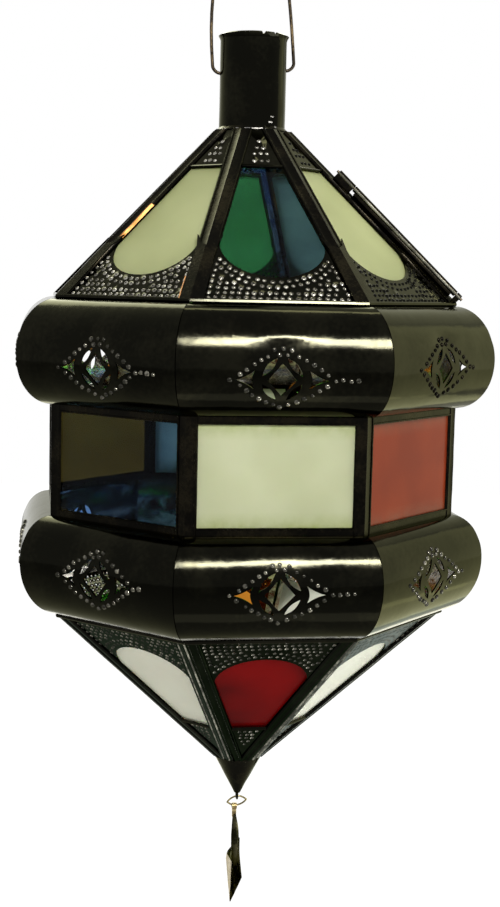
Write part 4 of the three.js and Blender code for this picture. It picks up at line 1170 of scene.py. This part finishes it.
leaf = {"length": 59.6, "half": 14.0, "belly": 36.6, "neckHalf": 2.6, "tipBend": 47.0, "nearSlope": 0.26,
        "farSlope": -0.09, "aside": 1.4, "lean": 0.026, "rollTop": 1.5, "rollFoot": 2.4, "rollStart": 4.5,
        "rollEnd": 19.0, "flatFrom": 38.0, "wall": 0.6, "loopHalf": 1.35, "loopRadius": 1.75, "tail": 6.5,
        "hole": 2.6, "rowStep": 2.2, "rows": 24, "rough": 0.15, "curl": 2.9, "rollCentre": 0.55}
pendantRing = {"half": 5.5, "skew": 0.7, "wire": 0.5, "sharp": 1.5, "round": 2.6}


def buildRingWire():
    high = level("pendant_ring", 1) - 0.7
    low = level("pendant_ring", 0) + 0.7
    middle = (high + low) / 2
    half, soft, sharp = pendantRing["half"], pendantRing["round"], pendantRing["sharp"]
    up, down = middle + pendantRing["skew"], middle - pendantRing["skew"]
    points = [((half, 0, up), (half - 1.0, 0, up - sharp), (half - 1.0, 0, up + sharp * 0.4)),
              ((0.3, 0, high), (soft, 0, high + 0.1), (-soft, 0, high - 0.4)),
              ((-half, 0, down), (1.0 - half, 0, down + sharp), (1.0 - half, 0, down - sharp * 0.4)),
              ((-leaf["aside"], 0, low), (-soft, 0, low), (soft, 0, low + 0.4))]
    bm = wirePart(points, pendantRing["wire"], True, 10)
    finishPiece("pendant_wire", bm, [brassFinish], "ring", ["pendant_ring"])


buildRingWire()


def bow(first, handle, second, steps):      # points along a curve that a handle bends
    return [tuple(Vector(first).lerp(Vector(handle), t).lerp(Vector(handle).lerp(Vector(second), t), t))
            for t in (i / steps for i in range(steps))]


# Rolled into a tube at the top and opening out below into two flat wings
def leafSpot(across, down):
    share = min(max((-down - leaf["rollStart"]) / (leaf["rollEnd"] - leaf["rollStart"]), 0), 1)
    radius = leaf["rollTop"] + (leaf["rollFoot"] - leaf["rollTop"]) * share
    angle = max(-leaf["curl"], min(leaf["curl"], across / radius))
    rolled = Vector((radius * (leaf["rollCentre"] - math.cos(angle)), radius * math.sin(angle)))
    slope = -leaf["nearSlope"] if across < 0 else leaf["farSlope"]
    flat = Vector((slope * across, across))
    opened = min(max((-down - leaf["rollEnd"] + 4) / (leaf["flatFrom"] - leaf["rollEnd"]), 0), 1)
    x, y = rolled.lerp(flat, opened * opened * (3 - 2 * opened))
    return Vector((x - leaf["aside"] + leaf["lean"] * down, y, down))


def loopPart():      # strip of sheet bent round the ring's wire
    half, radius, wall = leaf["loopHalf"], leaf["loopRadius"], leaf["wall"]
    bm = bmesh.new()
    verts = [bm.verts.new((x, 0, r)) for x, r in
             ((-half, radius - wall), (half, radius - wall), (half, radius), (-half, radius))]
    edges = [bm.edges.new((first, second)) for first, second in zip(verts, verts[1:] + verts[:1])]
    spinRound(bm, verts + edges, (0, 0, 0), (1, 0, 0), steps=20)
    addPart(bm, block((-half * 0.9, -wall, -leaf["tail"]), (half * 0.9, wall, -radius + 0.2), 0.15))
    return bm


def buildLeaf():
    hole = level("pendant_leaf", 1) - leaf["hole"]
    belly, half, tip = -leaf["belly"], leaf["half"], leaf["hole"] - leaf["length"]
    top = -leaf["rollStart"]
    right = bow((leaf["neckHalf"], top), (leaf["neckHalf"] * 2.4, belly * 0.45), (half, belly), 14)
    right += bow((half, belly), (half / 2, -leaf["tipBend"]), (0, tip), 12)
    points = right + [(0, tip)] + [(-x, y) for x, y in reversed(right)]
    bm = bmesh.new()
    bmesh.ops.triangle_fill(bm, use_beauty=True, use_dissolve=False, normal=(0, 0, 1),
                            edges=addLoop(bm, points))
    for i in range(-14, 15):
        cutThrough(bm, (i, 0, 0), (1, 0, 0))
    for i in range(1, leaf["rows"]):
        cutThrough(bm, (0, top - leaf["rowStep"] * i, 0), (0, 1, 0))
    faceOut(bm)
    # painted light: the far, flat wing takes the lighter tan as its lit side, the near wing stays dark
    for face in bm.faces:
        middle = face.calc_center_median()
        if middle.x > 0.3 and middle.y < -leaf["flatFrom"] + 4:
            face.material_index = 1
    for vert in bm.verts:
        rough = leaf["rough"] * noise.noise(Vector((vert.co.x / 5, vert.co.y / 7, 2)))
        vert.co = leafSpot(vert.co.x, vert.co.y) + Vector((rough, 0, hole))
    blade = faceOut(bm, Vector((-1, 0, 0)))
    finishPiece("pendant_blade", blade, [leafIron, litLeaf], "pendant", ["pendant_leaf"],
                leaf["wall"], 30)
    loop = bmesh.new()
    addPart(loop, loopPart(), Matrix.Translation((-leaf["aside"], 0, hole + 0.3)))
    finishPiece("pendant_loop", loop, [litLeaf], "pendant", ["pendant_leaf"])


buildLeaf()
print("finial and pendant made")

# Roof door on its hinge, on the panel that faces +X
door = {
    "window": {"archEnd": 19.0, "shoulder": 38.0, "flatEnd": 90.5}, "margin": 12.8, "ribHalf": 8.2,
    "dotRadius": 1.08, "dotSteps": roof["dotSteps"], "pitch": 3.6, "clear": 1.75, "firstRow": 7.2,
    "rowStep": 3.2, "archRows": (2.9, 6.3), "spacing": 3.05, "loose": 0.28,
    "farRows": [(94.6, 4), (98.4, 3), (102.0, 3), (105.4, 2)], "farPitch": 3.3,
    "low": 3.8, "high": 109.0, "edge": 6.55, "face": 1.1, "bayLap": 3.0, "bayEdge": 9.52,
    "hems": ((1, 0.2), (-1, 0.5)),      # side and height; the latch turns over the first
}
hinge = {
    "knuckle": 1.7, "bore": 1.0, "ribTop": 1.0, "lift": 1.5, "roofSpans": [(0.6, 3.7), (82.3, 94.0)],
    "barrel": (4.0, 82.0), "strap": (6.0, 80.0), "strapReach": 9.3, "strapLow": 1.4, "strapHigh": 2.2,
    "sheenFrom": 0.93,
}
hingeAngle = (lantern["doorPanel"] - 0.5) * turn


def hingeFrame():
    base = Vector((0, -lantern["roofBaseRadius"], roofBaseZ))
    along = (Vector((0, -lantern["roofTopRadius"], roofTopZ)) - base).normalized()
    out = Vector((1, 0, 0)).cross(along)
    face = Matrix.Rotation(halfTurn, 3, "Z") @ roofPanel.base.to_3x3().col[2]
    hinge["fold"] = math.acos(out.dot(face))
    hinge["height"] = hinge["ribTop"] / math.cos(hinge["fold"]) + 0.3 + hinge["lift"] + hinge["knuckle"]
    axes = Matrix((Vector((1, 0, 0)), -out, along)).transposed().to_4x4()
    return Matrix.Rotation(hingeAngle, 4, "Z") @ Matrix.Translation(base + out * hinge["height"]) @ axes


def knucklePart(low, high):      # painted highlight: a light line down one side of the barrel
    part = turnedPart([(hinge["bore"], low), (hinge["knuckle"], low + 0.15),
                       (hinge["knuckle"], high - 0.15), (hinge["bore"], high)], 20)
    for face in part.faces:
        away = face.calc_center_median()
        face.material_index = int(-away.x > hinge["knuckle"] * hinge["sheenFrom"])
    return part


def buildDoor():
    place = roofPanel.place(lantern["doorPanel"])
    onHinge = hingeFrame()
    corner = Matrix.Translation((-roofPanel.half(0), 0, 0))
    besideRib = place @ corner @ Matrix.Rotation(-roofPanel.taper, 4, "Z")
    draw = random.Random(lantern["seed"] + 300)
    bay = piercedSheet(trapezium(roofPanel, 0.2, roofPanel.length - roof["sheetTop"], roof["sheetInset"]),
                       trapezium(roofPanel, door["low"] + door["bayLap"], door["high"] - door["bayLap"],
                                 door["bayEdge"]), [], roof, draw)
    whole = bmesh.new()
    addPart(whole, bay, place)
    finishPiece("roof_bay", whole, [iron], "lantern", ["roof_shell"], sheet)
    ears = bmesh.new()
    for low, high in hinge["roofSpans"]:
        addPart(ears, knucklePart(low, high), onHinge)
        addPart(ears, block((-hinge["knuckle"] + 0.1, 0.3, low), (-0.9, hinge["height"] + 0.4, high)),
                onHinge)
    finishPiece("roof_knuckles", ears, [ribIron, pinSheen], "lantern", ["roof_shell"])
    leafSheet = piercedSheet(trapezium(roofPanel, door["low"], door["high"], door["edge"]),
                             windowLoop(roofPanel, door), sheetDots(roofPanel, door, draw), door, draw)
    whole = bmesh.new()
    addPart(whole, leafSheet, place @ Matrix.Translation((0, 0, door["face"])))
    finishPiece("door_sheet", whole, [iron, litBurnish], "door", ["door_leaf"], sheet)
    straps = bmesh.new()
    low, high = hinge["strap"]
    pinX, pinZ = -hinge["height"] * math.sin(hinge["fold"]), hinge["height"] * math.cos(hinge["fold"])
    addPart(straps, knucklePart(*hinge["barrel"]), onHinge)
    addPart(straps, block((pinX - 0.4, low, hinge["strapLow"]),
                          (hinge["strapReach"], high, hinge["strapHigh"])), besideRib)
    addPart(straps, block((pinX - 0.9, low, hinge["strapLow"]), (pinX + 0.9, high, pinZ - hinge["bore"])),
            besideRib)
    for x, hem in door["hems"]:
        ends = [(x * (roofPanel.half(y) - door["edge"]), y, door["face"])
                for y in (door["low"], door["high"])]
        line = Vector(ends[1]) - Vector(ends[0])
        points = [Vector(ends[0]) + Vector((-x * away, 0, lift)) for away, lift in
                  ((0, -0.6), (0, hem * 0.4), (0.25, hem), (1.3, hem), (1.5, 0.05))]
        addPart(straps, faceOut(drawn(points, line, 20)), place)
    finishPiece("door_hinge_straps", straps, [ribIron, pinSheen], "door", ["door_leaf"])


buildDoor()
print("roof door made")

# Camera, light and stage
view = {"pitch": 0.12005765, "yaw": -0.00389372, "roll": 0.02297, "azimuth": 0.14762659,
        "distance": 778.7, "level": -192.4, "lens": 56.19, "sensor": 36.0}


def seen(right, down, forward):      # a direction in the camera's own terms, turned into the scene's
    turned = Matrix.Rotation(view["roll"], 3, "Z") @ Matrix.Rotation(view["pitch"], 3, "X") @ \
        Matrix.Rotation(view["yaw"], 3, "Y")
    x, y, z = turned.transposed() @ Vector((right, down, forward))
    return Matrix.Rotation(-view["azimuth"], 3, "Z") @ Vector((x, z, -y))


def addCamera():
    lens = bpy.data.cameras.new("camera")
    lens.lens, lens.sensor_width = view["lens"], view["sensor"]
    camera = bpy.data.objects.new("camera", lens)
    bpy.context.scene.collection.objects.link(camera)
    axes = Matrix((seen(1, 0, 0), seen(0, -1, 0), seen(0, 0, -1))).transposed()
    spot = Vector((-math.sin(view["azimuth"]), -math.cos(view["azimuth"]), 0)) * view["distance"]
    spot.z = view["level"]
    camera.matrix_world = Matrix.Translation(spot * millimetre) @ axes.to_4x4()
    bpy.context.scene.camera = camera


lamps = [      # direction from the lantern as azimuth from -Y and elevation, in degrees; sizes in metres
    {"name": "frontStrip", "azimuth": 12, "elevation": 33.0, "distance": 2.6, "size": (0.46, 0.2),
     "strength": 230, "colour": (1, 0.985, 0.95)},
    {"name": "rightPanel", "azimuth": 105, "elevation": 2, "distance": 2.4, "size": (1.1, 2.8),
     "strength": 1.25, "colour": (1, 0.99, 0.66)},
    {"name": "rightLow", "azimuth": 118, "elevation": -36, "distance": 2.2, "size": (1.3, 0.8),
     "strength": 1.5, "colour": (1, 0.99, 0.7)},
    {"name": "coolPanel", "azimuth": 148, "elevation": -38, "distance": 2.0, "size": (0.8, 0.5),
     "strength": 0.42, "colour": (0.66, 0.92, 1)},
    {"name": "frontLow", "azimuth": 10, "elevation": -57, "distance": 1.5, "size": (1.2, 0.5),
     "strength": 1.5, "colour": (1, 0.99, 0.86)},
    {"name": "sidePanel", "azimuth": 137, "elevation": 36, "distance": 2.6, "size": (1.3, 0.9),
     "strength": 0.25, "colour": (1, 0.98, 0.62)},
    {"name": "underPanel", "azimuth": 180, "elevation": -32, "distance": 2.4, "size": (2.4, 0.9),
     "strength": 1.7, "colour": (1, 0.98, 0.84)},
    {"name": "ceilingStrip", "azimuth": 151, "elevation": 70, "distance": 2.6, "size": (1.6, 0.25),
     "strength": 11.0, "colour": (1, 0.98, 0.75)},
    {"name": "lowPanel", "azimuth": 72, "elevation": -34, "distance": 2.0, "size": (1.4, 1.3),
     "strength": 5.6, "colour": (0.95, 0.97, 1)},
    {"name": "backPanel", "azimuth": 186, "elevation": 35, "distance": 2.6, "size": (2.4, 1.2),
     "strength": 5.5, "colour": (1, 1, 0.97)},
]


def addLamp(look):
    lamp = bpy.data.lights.new(look["name"], "AREA")
    lamp.shape = "RECTANGLE"
    lamp.size, lamp.size_y = look["size"]
    lamp.energy = look["strength"] * math.pi * look["size"][0] * look["size"][1]
    lamp.color = look["colour"]
    holder = bpy.data.objects.new(look["name"], lamp)
    bpy.context.scene.collection.objects.link(holder)
    azimuth, elevation = math.radians(look["azimuth"]), math.radians(look["elevation"])
    way = Vector((math.sin(azimuth) * math.cos(elevation), -math.cos(azimuth) * math.cos(elevation),
                  math.sin(elevation)))
    holder.location = Vector((0, 0, -0.27)) + way * look["distance"]
    holder.rotation_euler = way.to_track_quat("Z", "Y").to_euler()


def whiteToEye(made, mirrored):      # 1 for rays that show the background, 0 for rays that light the object
    path = made.tree.nodes.new("ShaderNodeLightPath")
    camera, glossy, through = (Wire(made, path.outputs[name]) for name in (
        "Is Camera Ray", "Is Glossy Ray", "Is Transmission Ray"))
    return made.node("ShaderNodeMath", {"operation": "MAXIMUM"}, {0: camera, 1: made.node(
        "ShaderNodeMath", {"operation": "MAXIMUM"}, {0: glossy * mirrored, 1: through})})


stage = {"floorLevel": -1.6, "floorSize": 9.0, "ambient": 0.5, "floorColour": (0.56, 0.56, 0.54, 1),
         "mirroredFloor": 0.25, "mirroredAir": 0.9,
         "glow": 1.2, "whitened": 0.85}      # the rest shows the shadow


def addStage():
    world = bpy.data.worlds.new("studio")
    bpy.context.scene.world = world
    air = Finish(world)
    eye = whiteToEye(air, stage["mirroredAir"])
    air.surface(air.node("ShaderNodeBackground", None, {
        "Color": (1, 1, 1, 1), "Strength": eye * (1 - stage["ambient"]) + stage["ambient"]}))
    ground = newFinish("paleFloor")
    plain = ground.node("ShaderNodeBsdfDiffuse", None, {"Color": stage["floorColour"]})
    glow = ground.node("ShaderNodeEmission", None, {"Color": (1, 1, 1, 1), "Strength": stage["glow"]})
    bm = bmesh.new()
    bmesh.ops.create_circle(bm, cap_ends=True, segments=48, radius=stage["floorSize"],
                            matrix=Matrix.Translation((0, 0, stage["floorLevel"])))
    mesh = bpy.data.meshes.new("floor")
    bm.to_mesh(mesh)
    bm.free()
    mesh.materials.append(ground.surface(ground.node("ShaderNodeMixShader", None, {
        0: whiteToEye(ground, stage["mirroredFloor"]) * stage["whitened"], 1: plain, 2: glow})))
    floor = bpy.data.objects.new("floor", mesh)
    bpy.context.scene.collection.objects.link(floor)


addCamera()
for lamp in lamps:
    addLamp(lamp)
addStage()
bpy.context.scene.view_settings.view_transform = "Standard"
print("camera, lamps and stage made")
